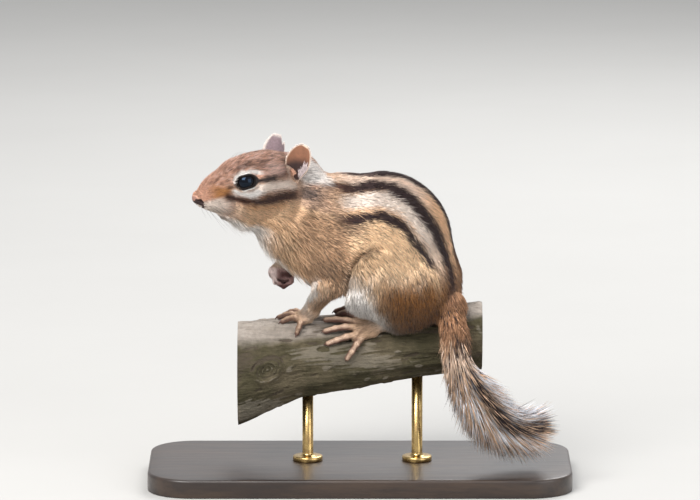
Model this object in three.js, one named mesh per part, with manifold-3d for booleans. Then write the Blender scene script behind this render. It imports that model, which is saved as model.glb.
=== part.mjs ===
// A life-size Siberian chipmunk on a short cut length of branch, held by a plain display stand.
// Millimetres, +Z up. The animal's nose points along -X and its left side faces -Y.
// The animal and its branch are drawn about the branch's crest under the belly; the last group puts
// the centre of the stand's underside at the origin.
import * as THREE from "three";
import { mergeVertices } from "three/addons/utils/BufferGeometryUtils.js";
import Module from "manifold-3d";

const wasm = await Module();
wasm.setup();

// Driving sizes
const TOUCH_GAP = 0.3; // left between pieces that touch
const CREST_HEIGHT = 66; // branch crest under the belly, above the floor
const CREST_FROM_CENTRE = -8; // and along X from the middle of the base
const EYE_RADIUS = 3.7;
const LID_THICKNESS = 0.75;
const HEAD_ORIGIN = [-21.5, 1, 54]; // between the ears, inside the skull
const HEAD_YAW = THREE.MathUtils.degToRad(24); // nose turned to the left side
const BASE = { length: 170, width: 78, thickness: 7.5, corner: 18, bevel: 1.2 };
const ROD = { radius: 2.2, flangeRadius: 6, flangeHeight: 2, sides: 16, x: [-13, 31] };
const BRANCH_SIDE = 5; // the branch's axis lies this far to the right of the animal's middle
const SEED = 11;

const vec = (x, y, z) => new THREE.Vector3(x, y, z);
const CELL = { head: 2.6, neck: 5, torso: 5.2, foreleg: 3, hindleg: 4, foot: 2.8, tail: 3.9, part: 4.8 };
const mix = (a, b, t) => a + (b - a) * t;
const clamp01 = (t) => Math.min(1, Math.max(0, t));
const smooth = (t) => clamp01(t) ** 2 * (3 - 2 * clamp01(t));

// A repeatable random number from 0 to 1
let seedState = SEED;
function draw() {
  seedState = (seedState * 16807) % 2147483647;
  return seedState / 2147483647;
}

// The value of a named row of stops at x, straight between them
function along(stops, x) {
  let i = 0;
  while (i < stops.length - 2 && x > stops[i + 1][0]) i += 1;
  const [x0, a] = stops[i];
  const [x1, b] = stops[i + 1];
  return mix(a, b, clamp01((x - x0) / (x1 - x0)));
}

// Solids: closed geometry to a manifold solid and back

function solidOf(geometry) {
  const bare = new THREE.BufferGeometry().setAttribute("position", geometry.getAttribute("position"));
  if (geometry.index) bare.setIndex(geometry.index);
  const merged = mergeVertices(bare, 1e-4);
  return new wasm.Manifold(
    new wasm.Mesh({
      numProp: 3,
      vertProperties: merged.attributes.position.array,
      triVerts: new Uint32Array(merged.index.array),
    }),
  );
}

function geometryOf(solid) {
  const made = solid.getMesh();
  const geometry = new THREE.BufferGeometry();
  geometry.setAttribute("position", new THREE.BufferAttribute(new Float32Array(made.vertProperties), 3));
  geometry.setIndex(new THREE.BufferAttribute(new Uint32Array(made.triVerts), 1));
  return geometry;
}

const union = (pieces) => pieces.reduce((a, b) => a.add(b));
const largest = (solid) => solid.decompose().reduce((a, b) => (b.volume() > a.volume() ? b : a));

// Lofts: rings of points joined side to side, closed by a point in the middle of each end or by a tip

function loft(rings, tip) {
  const sides = rings[0].length;
  const points = rings.flat();
  const faces = [];
  const at = (r, k) => r * sides + (k % sides);
  const middle = (ring) => ring.reduce((sum, p) => sum.add(p), vec(0, 0, 0)).divideScalar(sides);
  for (let r = 0; r < rings.length - 1; r += 1) {
    for (let k = 0; k < sides; k += 1) {
      faces.push(at(r, k), at(r, k + 1), at(r + 1, k + 1));
      faces.push(at(r, k), at(r + 1, k + 1), at(r + 1, k));
    }
  }
  const last = rings.length - 1;
  points.push(middle(rings[0]), tip ?? middle(rings[last]));
  for (let k = 0; k < sides; k += 1) {
    faces.push(points.length - 2, at(0, k + 1), at(0, k));
    faces.push(points.length - 1, at(last, k), at(last, k + 1));
  }
  const geometry = new THREE.BufferGeometry();
  geometry.setAttribute("position", new THREE.Float32BufferAttribute(points.flatMap((p) => [p.x, p.y, p.z]), 3));
  geometry.setIndex(faces);
  const solid = solidOf(geometry);
  if (solid.volume() > 0) return solid;
  for (let i = 0; i < faces.length; i += 3) [faces[i + 1], faces[i + 2]] = [faces[i + 2], faces[i + 1]];
  geometry.setIndex(faces);
  return solidOf(geometry);
}

// A tube along a smooth curve through points. radius(t) is its half width and flat(t) its thickness as a
// share of that, measured along the direction thin. Pace crowds its rings, and pointed ends it in a tip.
function tube(points, { radius, flat = () => 1, thin = vec(0, 0, 1), sides = 6, steps = 6, pace = 1, pointed }) {
  const curve = new THREE.CatmullRomCurve3(points, false, "centripetal");
  const rings = [];
  for (let s = 0; s <= steps - (pointed ? 1 : 0); s += 1) {
    const t = 1 - (1 - s / steps) ** pace;
    const centre = curve.getPoint(t);
    const tangent = curve.getTangent(t);
    const side = tangent.clone().cross(thin).normalize();
    const up = side.clone().cross(tangent).normalize();
    const r = radius(t);
    rings.push(
      Array.from({ length: sides }, (_, k) => {
        const angle = (2 * Math.PI * (k + 0.5)) / sides;
        return centre
          .clone()
          .addScaledVector(side, r * Math.cos(angle))
          .addScaledVector(up, r * flat(t) * Math.sin(angle));
      }),
    );
  }
  return loft(rings, pointed ? points[points.length - 1] : undefined);
}

// The branch: an uneven round tube of bark, sawn off square at both ends

const BRANCH = {
  start: -41,
  end: 57,
  axis: [[-41, -22.6], [-15, -16], [4, -14.2], [23, -11.4], [50, -8.2], [60, -7]],
  radius: [[-41, 21], [-30, 18.6], [-15, 15.9], [4, 15], [23, 14.3], [60, 13.9]],
  furrow: 0.4,
  furrows: 11,
  knot: { x: -29, angle: 3.05, rise: 1.5, spread: 6.5 },
  rings: 12,
  sides: 22,
};

function branchRadius(x, angle) {
  const { furrow, furrows, knot } = BRANCH;
  const bark = furrow * Math.sin(furrows * angle + 1.6 * Math.sin(x * 0.11) + 0.8 * Math.sin(3 * angle + x * 0.05));
  const sway = 0.5 * Math.sin(2 * angle + x * 0.06);
  const turn = Math.atan2(Math.sin(angle - knot.angle), Math.cos(angle - knot.angle));
  const off = Math.hypot(x - knot.x, turn * along(BRANCH.radius, x));
  const ring = knot.rise * Math.exp(-(((off - knot.spread * 0.7) / (knot.spread * 0.3)) ** 2));
  return along(BRANCH.radius, x) + bark + sway + ring;
}

function branchSolid(grow) {
  const { start, end, rings, sides, axis } = BRANCH;
  const ringAt = (x, shrink) =>
    Array.from({ length: sides }, (_, k) => {
      const angle = (2 * Math.PI * k) / sides;
      const r = branchRadius(x, angle) + grow - shrink;
      return vec(x, BRANCH_SIDE + r * Math.cos(angle), along(axis, x) + r * Math.sin(angle));
    });
  const stations = Array.from({ length: rings }, (_, i) => mix(start + 0.8, end - 0.8, i / (rings - 1)));
  return loft([
    ringAt(start - grow, 0.7),
    ...stations.map((x) => ringAt(x, 0)),
    ringAt(end + grow, 0.7),
  ]);
}

const branch = branchSolid(0);
const branchReach = branchSolid(TOUCH_GAP);

// Where the branch's bark lies at x, turned by tilt from its top towards the near side, and lifted off it
function onBark(x, tilt, lift) {
  const angle = Math.PI / 2 + tilt;
  const r = branchRadius(x, angle) + lift;
  return vec(x, BRANCH_SIDE + r * Math.cos(angle), along(BRANCH.axis, x) + r * Math.sin(angle));
}
const barkNormal = (tilt) => vec(0, -Math.sin(tilt), Math.cos(tilt));

// The body as one smooth field: each muscle mass is a tapered capsule, and neighbours melt together.
// A mass is [part, melt, start, start radius, end, end radius, width share across Y].

function mass([part, melt, from, ra, to, rb, wide = 1]) {
  const a = [...from];
  const b = [...to];
  const d = [b[0] - a[0], b[1] - a[1], b[2] - a[2]];
  const length2 = d[0] ** 2 + d[1] ** 2 + d[2] ** 2;
  const distance = (x, y, z) => {
    const p = [x - a[0], y - a[1], z - a[2]];
    const t = clamp01((p[0] * d[0] + p[1] * d[1] + p[2] * d[2]) / length2);
    const q = [p[0] - t * d[0], (p[1] - t * d[1]) / wide, p[2] - t * d[2]];
    const far = Math.hypot(...q);
    const steep = far < 1e-6 ? 1 : Math.hypot(q[0], q[1] / wide, q[2]) / far;
    return (far - mix(ra, rb, t)) / steep;
  };
  return { part, melt, distance, ends: [a, b], reach: Math.max(ra, rb) };
}

const bothSides = ([part, melt, a, ra, b, rb, wide]) =>
  [-1, 1].map((side) => [part, melt, [a[0], side * a[1], a[2]], ra, [b[0], side * b[1], b[2]], rb, wide]);

const headMatrix = new THREE.Matrix4().makeRotationZ(HEAD_YAW).setPosition(...HEAD_ORIGIN);
const headInverse = headMatrix.clone().invert();
const toHead = (x, y, z) => vec(x, y, z).applyMatrix4(headInverse);
const fromHead = (x, y, z) => vec(x, y, z).applyMatrix4(headMatrix);

// Head masses, in the head's own frame: nose along -X, left side -Y
const EYE = { centre: [-20.4, 7.8, 5.2], axis: [-0.2, 0.96, 0.16] };
const headMasses = [
  ["head", 4, [3, 0, 3], 11.8, [-10, 0, 3.8], 11.6, 1.0],
  ["head", 4, [-10, 0, 3.8], 11.4, [-22, 0, 2.2], 10, 0.92],
  ["head", 3, [-22, 0, 2], 9.8, [-30, 0, 0.5], 7.7, 0.82],
  ["head", 3, [-30, 0, 0.5], 7.6, [-37.5, 0, -1.3], 3.8, 0.9],
  ...bothSides(["head", 1.5, [-35, 2.2, -2.8], 2.9, [-28, 3.8, -3.4], 4.4, 1]),
  ["head", 1.5, [-33.8, 0, -6], 2, [-20, 0, -8.8], 5.8, 1],
  ...bothSides(["head", 4, [-17, 4.2, -4], 8, [-5, 5, -3.6], 9.4, 0.95]),
  ["head", 4, [-16, 0, -7.4], 9.4, [-5, 0, -8], 13, 0.84],
  ...bothSides(["head", 1.6, EYE.centre, EYE_RADIUS + LID_THICKNESS, [-20.2, 7.7, 5.2], EYE_RADIUS + LID_THICKNESS]),
];

// Body masses
const bodyMasses = [
  ["torso", 6, [15.8, 0, 35.4], 24.9, [6, 0, 36.8], 21.8, 0.76],
  ["torso", 6, [20, 0, 31.8], 24.7, [29.6, 0, 18.8], 19.1, 0.82],
  ["torso", 8, [6, 0, 36], 20.2, [-8, 0, 37.4], 18.6, 0.76],
  ["torso", 6, [-4, 0, 26], 14.6, [12, 0, 24], 14.6, 0.95],
  ["torso", 8, [-7.4, 0, 40], 19, [-17.5, 0, 45.6], 17, 0.76],
  ["torso", 6, [-20.5, 0, 39.2], 13.4, [-9, 0, 34], 14.5, 0.9],
];

// A hind foot on the bark, from heel to the roots of its toes, about a tilt round the branch
const sole = (part, heel, ball, tilt, splay) => [
  [part, 2, onBark(heel, tilt, 3.2), 3.7, onBark(mix(heel, ball, 0.6), tilt, 2.2), 3],
  ...[-1, 0, 1].map((k) => [
    part, 2, onBark(mix(heel, ball, 0.55), tilt + k * splay * 0.6, 2), 2.3, onBark(ball, tilt + k * splay, 1.7), 1.9,
  ]),
];

const limbMasses = [
  // Left foreleg, planted under the chest
  ["foreleg_left", 5, [-5, -8.2, 30], 10.5, [-4.2, -9, 18], 7, 0.68],
  ["foreleg_left", 3, [-4.4, -8.6, 17], 6, [-11.6, -1.8, 4.2], 3.3, 0.9],
  ["forefoot_left", 2, [-11.2, -1.6, 4], 3.2, onBark(-16.5, 0.26, 1.7), 2.3, 1.1],
  ["forefoot_left", 1.5, onBark(-13.5, 0.2, 1.8), 2.1, onBark(-17.6, 0.08, 1.3), 1.7, 1.1],
  ["forefoot_left", 1.5, onBark(-12.5, 0.36, 1.8), 2.1, onBark(-15.4, 0.46, 1.3), 1.7, 1.1],
  // Right foreleg, lifted against the chest with the paw hanging
  ["foreleg_right", 5, [-5, 8.2, 30], 10.5, [-7, 9.6, 25], 6.5, 0.68],
  ["foreleg_right", 3, [-7, 9.4, 24.5], 5.2, [-20.6, 6, 22.6], 3.6, 0.9],
  ["forefoot_right", 1.5, [-22, 5.6, 22], 3.3, [-26, 4.8, 18.6], 2.9, 1.25],
  ["forefoot_right", 1.5, [-25.4, 4.9, 18.2], 2.7, [-21.6, 5, 16.6], 2.3, 1.3],
  // Haunches, shins and long hind feet
  ["hindleg_left", 4, [26, -11, 13.4], 15.6, [15.6, -12.4, 17], 12.2, 0.52],
  ["hindleg_left", 4, [15, -12.4, 15], 11, [9.4, -12.6, 12], 6.8, 0.62],
  ["hindleg_left", 4, [10, -12, 10.5], 6.4, [22, -8.8, 2], 5, 0.8],
  ...sole("hindfoot_left", 22, 6.4, 0.8, 0.25),
  ["hindleg_right", 4, [26, 11, 13.4], 15.6, [15.6, 12.4, 17], 12.2, 0.52],
  ["hindleg_right", 4, [15, 12.4, 15], 11, [10.4, 12, 13], 6.8, 0.62],
  ["hindleg_right", 4, [11, 11.5, 12], 6.4, [25, 8, 8], 5, 0.8],
  ...sole("hindfoot_right", 25, 10, -0.2, 0.2),
  // The short-haired root of the tail, over the branch's near shoulder
  ["tail_root", 5, [35, 0, 10], 9, [43, -6, 6.4], 6.6, 1],
  ["tail_root", 2, [43, -6, 6.4], 6.4, [45.4, -12.8, -1.4], 5.4, 1],
  ["tail_root", 2, [45.4, -12.8, -1.4], 5.4, [46.2, -15.6, -10], 4.9, 1],
];

const inHead = (one) => {
  const distance = (x, y, z) => {
    const p = toHead(x, y, z);
    return one.distance(p.x, p.y, p.z);
  };
  return { ...one, distance, ends: one.ends.map((p) => fromHead(...p).toArray()) };
};
const masses = [...bodyMasses.map(mass), ...headMasses.map(mass).map(inHead), ...limbMasses.map(mass)];

function softMin(a, b, k) {
  const h = Math.max(k - Math.abs(a - b), 0) / k;
  return Math.min(a, b) - (h * h * k) / 4;
}

const body = (x, y, z) => masses.reduce((d, one) => softMin(d, one.distance(x, y, z), one.melt), 100);

// How far a point is on the far side of the boundary round a part: half the difference of the distances to
// that part's masses and to all the others
function beyondPart(part) {
  const own = masses.filter((one) => one.part === part);
  const rest = masses.filter((one) => one.part !== part);
  const nearest = (list, x, y, z) => list.reduce((d, one) => Math.min(d, one.distance(x, y, z)), 1e9);
  return (x, y, z) => (nearest(own, x, y, z) - nearest(rest, x, y, z)) / 2;
}

// The surface where a field is zero, inside a box: one point in each cell that the surface crosses, pulled
// onto the surface, and a face across each crossed grid edge

// Grid points inside the surface that meet only across a diagonal would pinch it, so the nearer of the
// points between them is taken as inside too
function fillPinches(value, n, depth) {
  const stride = [1, n[0], n[0] * n[1]];
  const onRim = (at) => {
    const spot = [at % n[0], Math.floor(at / stride[1]) % n[1], Math.floor(at / stride[2])];
    return spot.some((c, axis) => c === 0 || c === n[axis] - 1);
  };
  const fill = (spots) => {
    const near = spots.filter((at) => !onRim(at)).reduce((a, b) => (value[b] < value[a] ? b : a));
    value[near] = -depth;
  };
  const planes = [[0, 1], [1, 2], [0, 2]].map(([a, b]) => [0, stride[a], stride[b], stride[a] + stride[b]]);
  const cube = [0, 1, 2, 3, 4, 5, 6, 7].map((c) => (c & 1) * stride[0] + ((c >> 1) & 1) * stride[1] + (c >> 2) * stride[2]);
  let changed = true;
  while (changed) {
    changed = false;
    for (let k = 0; k < n[2] - 1; k += 1) {
      for (let j = 0; j < n[1] - 1; j += 1) {
        for (let i = 0; i < n[0] - 1; i += 1) {
          const at = i + j * stride[1] + k * stride[2];
          for (const plane of planes) {
            const spots = plane.map((s) => at + s);
            const [a, b, c, d] = spots.map((s) => value[s] < 0);
            if (a !== d || b !== c || a === b) continue;
            fill(a ? [spots[1], spots[2]] : [spots[0], spots[3]]);
            changed = true;
          }
          const spots = cube.map((s) => at + s);
          const inside = spots.map((s) => value[s] < 0);
          const count = inside.filter(Boolean).length;
          if (count !== 2 && count !== 6) continue;
          const odd = inside.indexOf(count === 2);
          if (inside.lastIndexOf(count === 2) !== 7 - odd || odd > 3) continue;
          fill(spots.filter((_, c) => (count === 2 ? c !== odd && c !== 7 - odd : c === odd || c === 7 - odd)));
          changed = true;
        }
      }
    }
  }
}

function shellOf(field, low, high, cell) {
  const n = low.map((a, i) => Math.ceil((high[i] - a) / cell) + 1);
  const index = (i, j, k) => (k * n[1] + j) * n[0] + i;
  const value = new Float64Array(n[0] * n[1] * n[2]);
  for (let k = 0; k < n[2]; k += 1) {
    for (let j = 0; j < n[1]; j += 1) {
      for (let i = 0; i < n[0]; i += 1) {
        const rim = !i || !j || !k || i === n[0] - 1 || j === n[1] - 1 || k === n[2] - 1;
        const d = field(low[0] + i * cell, low[1] + j * cell, low[2] + k * cell);
        value[index(i, j, k)] = rim ? Math.max(d, cell * 0.4) : d;
      }
    }
  }
  fillPinches(value, n, cell * 0.02);
  const corners = [0, 1, 2, 3, 4, 5, 6, 7].map((c) => [c & 1, (c >> 1) & 1, (c >> 2) & 1]);
  const edges = [];
  corners.forEach((a, m) => corners.forEach((b, q) => {
    if (m < q && Math.abs(a[0] - b[0]) + Math.abs(a[1] - b[1]) + Math.abs(a[2] - b[2]) === 1) edges.push([a, b]);
  }));
  const points = [];
  const cellPoint = new Map();
  const pull = (p) => {
    const e = cell * 0.05;
    for (let turn = 0; turn < 3; turn += 1) {
      const d = field(...p);
      const g = [0, 1, 2].map((axis) => {
        const q = [...p];
        q[axis] += e;
        return (field(...q) - d) / e;
      });
      const g2 = Math.max(g[0] ** 2 + g[1] ** 2 + g[2] ** 2, 0.05);
      const step = Math.max(-cell * 0.3, Math.min(cell * 0.3, d)) / g2;
      p = p.map((c, axis) => c - step * g[axis]);
    }
    return p;
  };
  for (let k = 0; k < n[2] - 1; k += 1) {
    for (let j = 0; j < n[1] - 1; j += 1) {
      for (let i = 0; i < n[0] - 1; i += 1) {
        let sum = [0, 0, 0];
        let count = 0;
        for (const [a, b] of edges) {
          const va = value[index(i + a[0], j + a[1], k + a[2])];
          const vb = value[index(i + b[0], j + b[1], k + b[2])];
          if (va < 0 === vb < 0) continue;
          const t = va / (va - vb);
          sum = sum.map((s, axis) => s + mix(a[axis], b[axis], t));
          count += 1;
        }
        if (!count) continue;
        const p = sum.map((s, axis) => low[axis] + ([i, j, k][axis] + s / count) * cell);
        const edgeCell = [i, j, k].some((c, axis) => c < 1 || c > n[axis] - 3);
        cellPoint.set(index(i, j, k), points.length);
        points.push(edgeCell ? p : pull(p));
      }
    }
  }
  const faces = [];
  const quad = (a, b, c, d, flip) => {
    const q = [a, b, c, d].map((id) => cellPoint.get(id));
    if (flip) q.reverse();
    const far = (m, o) => Math.hypot(...[0, 1, 2].map((axis) => points[q[m]][axis] - points[q[o]][axis]));
    if (far(0, 2) < far(1, 3)) faces.push(q[0], q[1], q[2], q[0], q[2], q[3]);
    else faces.push(q[1], q[2], q[3], q[1], q[3], q[0]);
  };
  for (let k = 0; k < n[2] - 1; k += 1) {
    for (let j = 0; j < n[1] - 1; j += 1) {
      for (let i = 0; i < n[0] - 1; i += 1) {
        const inside = value[index(i, j, k)] < 0;
        if (inside !== value[index(i + 1, j, k)] < 0)
          quad(index(i, j, k), index(i, j, k - 1), index(i, j - 1, k - 1), index(i, j - 1, k), inside);
        if (inside !== value[index(i, j + 1, k)] < 0)
          quad(index(i, j, k), index(i - 1, j, k), index(i - 1, j, k - 1), index(i, j, k - 1), inside);
        if (inside !== value[index(i, j, k + 1)] < 0)
          quad(index(i, j, k), index(i, j - 1, k), index(i - 1, j - 1, k), index(i - 1, j, k), inside);
      }
    }
  }
  const geometry = new THREE.BufferGeometry();
  geometry.setAttribute("position", new THREE.Float32BufferAttribute(points.flat(), 3));
  geometry.setIndex(faces);
  const solid = solidOf(geometry);
  if (solid.volume() > 0) return solid;
  for (let f = 0; f < faces.length; f += 3) [faces[f + 1], faces[f + 2]] = [faces[f + 2], faces[f + 1]];
  geometry.setIndex(faces);
  return solidOf(geometry);
}

function boxOf(part, margin) {
  const own = masses.filter((one) => one.part === part);
  const low = [0, 1, 2].map((axis) => Math.min(...own.flatMap((o) => o.ends.map((p) => p[axis] - o.reach))));
  const high = [0, 1, 2].map((axis) => Math.max(...own.flatMap((o) => o.ends.map((p) => p[axis] + o.reach))));
  return [low.map((c) => c - margin), high.map((c) => c + margin)];
}

// Body pieces, parted where one mass gives way to the next

const cellOf = (part) => {
  if (part.startsWith("foreleg")) return CELL.foreleg;
  if (part.startsWith("hindleg")) return CELL.hindleg;
  return part.startsWith("tail") ? CELL.tail : CELL.foot;
};

// A solid with every face moved out by a gap: a corner moves along its mean normal, further where it is sharp
function grown(solid, gap) {
  const geometry = geometryOf(solid);
  geometry.computeVertexNormals();
  const place = geometry.getAttribute("position");
  const normal = geometry.getAttribute("normal");
  const corner = (attribute, i) => vec(0, 0, 0).fromBufferAttribute(attribute, i);
  const squareness = new Float32Array(place.count).fill(1);
  for (let f = 0; f < geometry.index.count; f += 3) {
    const ids = [0, 1, 2].map((k) => geometry.index.getX(f + k));
    const [a, b, c] = ids.map((i) => corner(place, i));
    const facing = b.sub(a).cross(c.sub(a)).normalize();
    for (const i of ids) squareness[i] = Math.min(squareness[i], Math.max(0.3, facing.dot(corner(normal, i))));
  }
  const moved = place.clone();
  for (let i = 0; i < place.count; i += 1) {
    const p = corner(place, i).addScaledVector(corner(normal, i), gap / squareness[i]);
    moved.setXYZ(i, p.x, p.y, p.z);
  }
  return solidOf(geometry.setAttribute("position", moved));
}

// Each limb's share of the body, and the same share with the gap that its neighbours keep from it. A limb
// also keeps clear of the limbs listed before it.
const limbNames = [...new Set(limbMasses.map((one) => one[0]))].sort((a, b) => b.includes("foot") - a.includes("foot"));
const shares = new Map(limbNames.map((part) => [part, shellOf(beyondPart(part), ...boxOf(part, 4), CELL.part)]));
const clearance = new Map(limbNames.map((part) => [part, grown(shares.get(part), TOUCH_GAP)]));
const clearOf = (solid, names) => names.reduce((rest, part) => rest.subtract(clearance.get(part)), solid);

function limb(part) {
  const flesh = shellOf(body, ...boxOf(part, 4), cellOf(part)).intersect(shares.get(part));
  return clearOf(flesh, limbNames.slice(0, limbNames.indexOf(part))).subtract(branchReach);
}

// A half space as a big block, whose near face passes through a point and looks along a normal
function slab(point, normal, thickness) {
  const block = new THREE.BoxGeometry(240, 240, thickness);
  block.translate(0, 0, -thickness / 2);
  block.applyQuaternion(new THREE.Quaternion().setFromUnitVectors(vec(0, 0, 1), normal.clone().normalize()));
  block.translate(point.x, point.y, point.z);
  return solidOf(block);
}

const NECK_FRONT = { point: vec(-19.5, 0, 46), normal: vec(-0.78, -0.16, 0.6) };
const NECK_BACK = { point: vec(-7, 0, 40), normal: vec(-0.9, -0.04, 0.42) };

function torsoSolid() {
  const flesh = shellOf(body, [-34, -26, -8], [54, 26, 66], CELL.torso);
  const behindNeck = flesh.subtract(slab(NECK_BACK.point, NECK_BACK.normal.clone().negate(), 120));
  return clearOf(behindNeck, limbNames).subtract(branchReach);
}

function neckSolid() {
  const back = slab(NECK_BACK.point.clone().addScaledVector(NECK_BACK.normal, TOUCH_GAP), NECK_BACK.normal, 120);
  const front = slab(NECK_FRONT.point, NECK_FRONT.normal.clone().negate(), 120);
  const flesh = shellOf(body, [-48, -26, 12], [8, 26, 74], CELL.neck).subtract(back).subtract(front);
  return clearOf(flesh, limbNames.filter((part) => part.startsWith("fore")));
}

// Head: sockets, lids, nostrils and the line of the mouth are cut into the flesh

const headPath = (points, side) => points.map(([x, y, z]) => fromHead(x, side * y, z));

// The point of the skin reached from inside the head along the head's own Y, at a height and length
function onFace(x, z, side, lift = 0) {
  let low = 0;
  let high = 20;
  for (let i = 0; i < 30; i += 1) {
    const y = (low + high) / 2;
    if (body(...fromHead(x, side * y, z).toArray()) < 0) low = y;
    else high = y;
  }
  return fromHead(x, side * (low + lift), z);
}

const EYE_APERTURE = { front: 66, back: 62, up: 48, down: 44, droop: 10 }; // degrees from the eye's axis

// The opening between the lids: a cone from the eye's middle, almond shaped
function eyeOpening(side) {
  const centre = fromHead(EYE.centre[0], side * EYE.centre[1], EYE.centre[2]);
  const turn = new THREE.Matrix4().extractRotation(headMatrix);
  const axis = vec(EYE.axis[0], side * EYE.axis[1], EYE.axis[2]).applyMatrix4(turn).normalize();
  const droop = THREE.MathUtils.degToRad(EYE_APERTURE.droop);
  const nose = vec(-Math.cos(droop), 0, -Math.sin(droop)).applyMatrix4(turn);
  nose.addScaledVector(axis, -nose.dot(axis)).normalize();
  const up = axis.clone().cross(nose).normalize();
  if (up.z < 0) up.negate();
  const edge = (psi, radius) => {
    const c = Math.cos(psi);
    const s = Math.sin(psi);
    const wide = c > 0 ? EYE_APERTURE.front : EYE_APERTURE.back;
    const tall = s > 0 ? EYE_APERTURE.up : EYE_APERTURE.down;
    const pinch = 1 - 0.12 * Math.abs(s) * Math.abs(c);
    const polar = THREE.MathUtils.degToRad(Math.hypot(wide * c, tall * s) * pinch);
    return centre
      .clone()
      .addScaledVector(axis, radius * Math.cos(polar))
      .addScaledVector(nose, radius * Math.sin(polar) * c)
      .addScaledVector(up, radius * Math.sin(polar) * s);
  };
  const ring = (radius) => Array.from({ length: 18 }, (_, k) => edge((2 * Math.PI * k) / 18, radius));
  return loft([ring(1), ring(EYE_RADIUS * 1.7)]);
}

function ball(centre, radius, wide, tall) {
  const geometry = new THREE.SphereGeometry(radius, wide, tall);
  geometry.rotateX(Math.PI / 2);
  geometry.translate(centre.x, centre.y, centre.z);
  return solidOf(geometry);
}

const eyeCentre = (side) => fromHead(EYE.centre[0], side * EYE.centre[1], EYE.centre[2]);

const MOUTH = [[-38, -4.4], [-35.4, -5.9], [-32, -7.2], [-29, -8], [-26.4, -8.2]]; // head X and Z
const NOSTRIL = [[-41, 1.5, -0.8], [-40, 2.5, -1.1], [-38.9, 3, -2.3]];

const headFlesh = shellOf(body, ...boxOf("head", 3), CELL.head);

function headSolid() {
  let flesh = headFlesh.subtract(
    slab(NECK_FRONT.point.clone().addScaledVector(NECK_FRONT.normal, TOUCH_GAP), NECK_FRONT.normal, 120),
  );
  const lip = (points, radius) =>
    tube(points, { radius: (t) => radius * Math.sin(Math.PI * mix(0.12, 0.9, t)), sides: 4, steps: 5 });
  for (const side of [-1, 1]) {
    const line = MOUTH.map(([x, z]) => onFace(x, z, side));
    const below = MOUTH.map(([x, z]) => onFace(x, z - 0.9, side, -0.25));
    flesh = flesh.add(lip(below, 0.75)).subtract(lip(line, 0.5));
    const nostril = headPath(NOSTRIL, side);
    flesh = flesh.subtract(tube(nostril, { radius: (t) => mix(0.5, 0.42, t), sides: 5, steps: 3 }));
    flesh = flesh.subtract(ball(eyeCentre(side), EYE_RADIUS + TOUCH_GAP, 14, 9)).subtract(eyeOpening(side));
  }
  const philtrum = [fromHead(-41.4, 0, -2), fromHead(-40.4, 0, -3.4), fromHead(-38.8, 0, -4.4)];
  return flesh.subtract(tube(philtrum, { radius: () => 0.4, thin: vec(0, 1, 0), sides: 5, steps: 3 }));
}

// Ears: a thin cup, open to the side and front, rooted on the skull

const EAR = {
  height: 16.2,
  halfWidth: 5.8,
  cup: 2.5,
  thickness: 0.95,
  // Each ear's root in the head frame, its lean outwards, its sweep backwards, its mouth's turn from
  // sideways to forwards, in degrees, and the depth of a nick in its rim as a share of the height
  left: { root: [-0.2, -9.8, 7.4], lean: 27, sweep: -1, open: 50, nick: 0 },
  right: { root: [-1.7, 9.8, 7.4], lean: 18, sweep: 16, open: 8, nick: 0.17 },
};

function earSolid(side, reach) {
  const pose = side < 0 ? EAR.left : EAR.right;
  const [lean, sweep, open] = [pose.lean, pose.sweep, pose.open].map(THREE.MathUtils.degToRad);
  const up = vec(Math.sin(sweep), side * Math.sin(lean), Math.cos(lean) * Math.cos(sweep)).normalize();
  const mouth = vec(-Math.sin(open), side * Math.cos(open), 0);
  mouth.addScaledVector(up, -mouth.dot(up)).normalize();
  const across = up.clone().cross(mouth).normalize();
  const sheet = (u, v) => {
    const round = Math.sqrt(Math.max(0, 1 - Math.max(0, (u - 0.42) / 0.58) ** 2.2));
    const w = EAR.halfWidth * mix(0.72, 1, smooth(u / 0.45)) * round;
    const back = EAR.cup * (1 - (u * 0.72) ** 2) * (1 - (v * round) ** 2) + 1.1 * u * u;
    const nick = pose.nick * Math.exp(-(((v + 0.5) / 0.17) ** 2));
    return vec(...pose.root)
      .addScaledVector(up, (u * (1 - nick) - 0.18) * EAR.height)
      .addScaledVector(across, w * v)
      .addScaledVector(mouth, -back + 1.2);
  };
  const across2 = 7;
  const upward = 7;
  const rings = Array.from({ length: upward + 1 }, (_, i) => {
    const u = mix(0, 0.985, i / upward);
    const half = (EAR.thickness / 2) * mix(1.25, 0.85, u);
    const front = [];
    const rear = [];
    for (let j = 0; j <= across2; j += 1) {
      const v = mix(-1, 1, j / across2);
      const edge = Math.max(0.35, Math.sqrt(1 - v * v * 0.92));
      front.push(sheet(u, v * 0.985).addScaledVector(mouth, half * edge));
      rear.push(sheet(u, v * 0.985).addScaledVector(mouth, -half * edge));
    }
    return [...front, ...rear.reverse()].map((p) => p.applyMatrix4(headMatrix));
  });
  return loft(rings).subtract(reach);
}

// Feet: a palm from the body's field, with bent toes and hooked claws joined to it

const CLAW = { length: 2.4, radius: 0.55 };

function toe(points, normal, radius) {
  const tip = points[points.length - 1];
  const ahead = tip.clone().sub(points[points.length - 2]).normalize();
  const digit = tube(points, {
    radius: (t) => radius * mix(1.08, 0.9, t) * (t < 0.99 ? 1 + 0.1 * Math.sin(Math.PI * 2 * t) : 0.5),
    thin: normal,
    sides: 5,
    steps: 4,
    pace: 1.6,
  });
  const root = tip.clone().addScaledVector(ahead, -0.9).addScaledVector(normal, 0.2);
  const hook = root.clone().addScaledVector(ahead, CLAW.length * 0.75).addScaledVector(normal, 0.35);
  const end = hook.clone().addScaledVector(ahead, CLAW.length * 0.5).addScaledVector(normal, -0.9);
  const claw = tube([root, hook, end], {
    radius: (t) => mix(CLAW.radius, 0.2, t),
    thin: normal,
    sides: 3,
    steps: 2,
    pointed: true,
  });
  return [digit, claw];
}

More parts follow.
